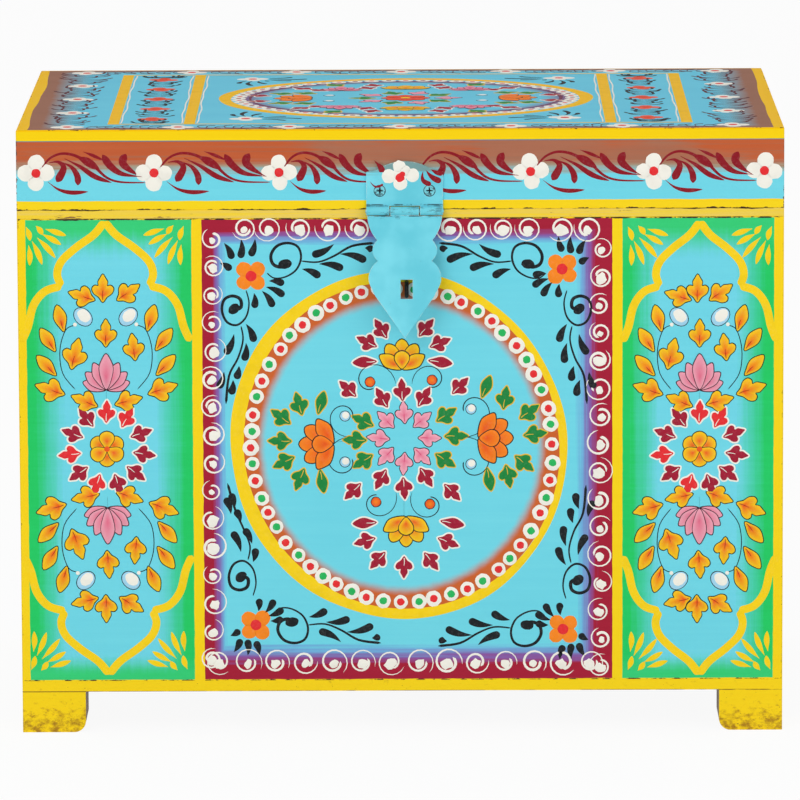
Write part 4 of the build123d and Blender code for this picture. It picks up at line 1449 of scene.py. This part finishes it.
class PAINTEDBOX_OT_hardware(bpy.types.Operator):
    """Finish the hasp, staple, hinges and fasteners"""

    bl_idname = "paintedbox.hardware"
    bl_label = "Hardware finishes"

    def execute(self, context):
        dress(("hasp_plate", "hasp_strap", "hasp_pin"), hasp_coat())
        dress(("hasp_screws",), screw_coat())
        dress(("hasp_staple",), black_steel())
        hinge = steel("hinge_steel", HINGE_STEEL, 0.42)
        dress(("left_hinge_body_leaf", "left_hinge_lid_leaf", "right_hinge_body_leaf",
               "right_hinge_lid_leaf", "left_hinge_pin", "right_hinge_pin"), hinge)
        dress(("hinge_body_screws", "hinge_lid_screws", "foot_screws", "bottom_nails", "rim_nails"),
              steel("fastener_steel", FASTENER_STEEL, 0.35, 0.5))
        return {"FINISHED"}


class PAINTEDBOX_OT_front_ornament(bpy.types.Operator):
    """Paint the ornament of the front"""

    bl_idname = "paintedbox.front_ornament"
    bl_label = "Front ornament"

    def execute(self, context):
        seed = context.scene.painted_box_paint.seed
        for i, (name, draw) in enumerate(FRONT_PIECES):
            ornament(name, front_face, seed + i, draw, "box")
        for name in FRONT_ARCH_MIDDLES:
            ornament(f"front_{name}_arch", front_face, seed + 4, partial(front_arch, name), "box")
        return {"FINISHED"}


class PAINTEDBOX_OT_side_ornament(bpy.types.Operator):
    """Paint arched panels on the side walls"""

    bl_idname = "paintedbox.side_ornament"
    bl_label = "Side ornament"

    def execute(self, context):
        settings = context.scene.painted_box_paint
        for name, face in SIDE_FACES if settings.side_ornament else ():
            ornament(f"{name}_side_arches", face, settings.seed + 11, side_arches, "box")
        return {"FINISHED"}


class PAINTEDBOX_OT_lid_ornament(bpy.types.Operator):
    """Paint the ornament of the lid"""

    bl_idname = "paintedbox.lid_ornament"
    bl_label = "Lid ornament"

    def execute(self, context):
        seed = context.scene.painted_box_paint.seed
        ornament("lid_front_flowers", front_face, seed + 20, lid_front_flowers, "lid")
        for name, face in SIDE_FACES:
            ornament(f"lid_{name}_flowers", face, seed + 21, lid_side_flowers, "lid")
        ornament("hasp_plate_flower", plate_face, seed + 22, plate_flower, "lid")
        for name, draw in LID_TOP_PIECES:
            ornament(name, top_face, seed + 30, draw, "lid", paint="lid_top_motif_paint")
        return {"FINISHED"}


def lamp(name, place, power):
    """A wide round lamp that points at the middle of the box."""
    data = bpy.data.lights.new(name, "AREA")
    data.energy = power
    data.size = 2.4
    data.shape = "DISK"
    light = bpy.data.objects.new(name, data)
    light.location = place
    aim = Vector((0, 0, 0.2)) - Vector(place)
    light.rotation_euler = aim.to_track_quat("-Z", "Y").to_euler()
    bpy.context.scene.collection.objects.link(light)


def seen_directly(tree):
    """1 for camera, glossy and transmission rays, 0 for the light on the object."""
    path = tree.nodes.new("ShaderNodeLightPath")
    total = path.outputs["Is Camera Ray"]
    for name in ("Is Glossy Ray", "Is Transmission Ray"):
        either = tree.nodes.new("ShaderNodeMath")
        either.operation = "MAXIMUM"
        tree.links.new(total, either.inputs[0])
        tree.links.new(path.outputs[name], either.inputs[1])
        total = either.outputs[0]
    return total


def show_as(tree, usual, shown, output, share):
    """Gives the output the usual shader, and the shown one by this share to rays that see it directly."""
    part = tree.nodes.new("ShaderNodeMath")
    part.operation = "MULTIPLY"
    part.inputs[1].default_value = share
    mix = tree.nodes.new("ShaderNodeMixShader")
    tree.links.new(seen_directly(tree), part.inputs[0])
    for socket, source in zip(mix.inputs, (part, usual, shown)):
        tree.links.new(source.outputs[0], socket)
    tree.links.new(mix.outputs[0], tree.nodes[output].inputs["Surface"])


def stage_floor(size):
    half = size / 2
    mesh = bpy.data.meshes.new("floor")
    mesh.from_pydata([(-half, -half, 0), (half, -half, 0), (half, half, 0), (-half, half, 0)], [],
                     [(0, 1, 2, 3)])
    floor = bpy.data.objects.new("floor", mesh)
    bpy.context.scene.collection.objects.link(floor)
    material = bpy.data.materials.new("floor_white")
    material.use_nodes = True
    tree = material.node_tree
    shader = tree.nodes["Principled BSDF"]
    shader.inputs["Base Color"].default_value = (0.90, 0.90, 0.90, 1)
    shader.inputs["Roughness"].default_value = 0.8
    show_as(tree, shader, tree.nodes.new("ShaderNodeEmission"), "Material Output", 0.93)
    mesh.materials.append(material)


def white_world(strength):
    """Even light on the object, and plain white behind it for the camera and reflections."""
    world = bpy.data.worlds.new("white_world")
    world.use_nodes = True
    bpy.context.scene.world = world
    tree = world.node_tree
    even = tree.nodes["Background"]
    plain = tree.nodes.new("ShaderNodeBackground")
    for shader, amount in ((even, strength), (plain, 1.0)):
        shader.inputs["Color"].default_value = (1, 1, 1, 1)
        shader.inputs["Strength"].default_value = amount
    show_as(tree, even, plain, "World Output", 1.0)


class PAINTEDBOX_OT_stage(bpy.types.Operator):
    """Set the camera, floor and lamps"""

    bl_idname = "paintedbox.stage"
    bl_label = "Stage"

    def execute(self, context):
        settings = context.scene.painted_box_stage
        scene = context.scene
        data = bpy.data.cameras.new("photo_camera")
        data.sensor_width = SENSOR_WIDTH
        data.lens = CAMERA_FOCAL * SENSOR_WIDTH / (2 * PHOTO_MIDDLE)
        data.clip_end = 100.0
        camera = bpy.data.objects.new("photo_camera", data)
        basis = Matrix((ACROSS, OVER, -AHEAD)).transposed().to_4x4()
        camera.matrix_world = Matrix.Translation(Vector(CAMERA_SPOT) * MM) @ basis
        scene.collection.objects.link(camera)
        scene.camera = camera
        scene.view_settings.view_transform = "Standard"
        white_world(settings.world_strength)
        lamp("key_lamp", (-1.6, -3.2, 2.6), settings.key_power)
        lamp("fill_lamp", (2.4, -2.8, 1.6), settings.key_power * 0.5)
        stage_floor(settings.floor_size)
        return {"FINISHED"}


class PAINTEDBOX_PT_panel(bpy.types.Panel):
    """Sidebar panel of the painted storage box"""

    bl_label = "Painted box"
    bl_idname = "PAINTEDBOX_PT_panel"
    bl_space_type = "VIEW_3D"
    bl_region_type = "UI"
    bl_category = "Painted box"

    def draw(self, context):
        layout = self.layout
        paint = context.scene.painted_box_paint
        stage = context.scene.painted_box_stage
        for name in ("side_ornament", "seed"):
            layout.prop(paint, name)
        for step in ("boards", "hardware", "front_ornament", "side_ornament", "lid_ornament"):
            layout.operator(f"paintedbox.{step}")
        for name in ("key_power", "world_strength", "floor_size"):
            layout.prop(stage, name)
        layout.operator("paintedbox.stage")


CLASSES = (BoxPaintSettings, BoxStageSettings, PAINTEDBOX_OT_boards, PAINTEDBOX_OT_hardware,
           PAINTEDBOX_OT_front_ornament, PAINTEDBOX_OT_side_ornament, PAINTEDBOX_OT_lid_ornament,
           PAINTEDBOX_OT_stage, PAINTEDBOX_PT_panel)


def register():
    for entry in CLASSES:
        bpy.utils.register_class(entry)
    bpy.types.Scene.painted_box_paint = bpy.props.PointerProperty(type=BoxPaintSettings)
    bpy.types.Scene.painted_box_stage = bpy.props.PointerProperty(type=BoxStageSettings)


def unregister():
    del bpy.types.Scene.painted_box_stage
    del bpy.types.Scene.painted_box_paint
    for entry in reversed(CLASSES):
        bpy.utils.unregister_class(entry)


def main():
    register()
    bpy.ops.paintedbox.stage()
    bpy.ops.paintedbox.boards()
    bpy.ops.paintedbox.hardware()
    bpy.ops.paintedbox.front_ornament()
    bpy.ops.paintedbox.side_ornament()
    bpy.ops.paintedbox.lid_ornament()


if __name__ == "__main__":
    main()
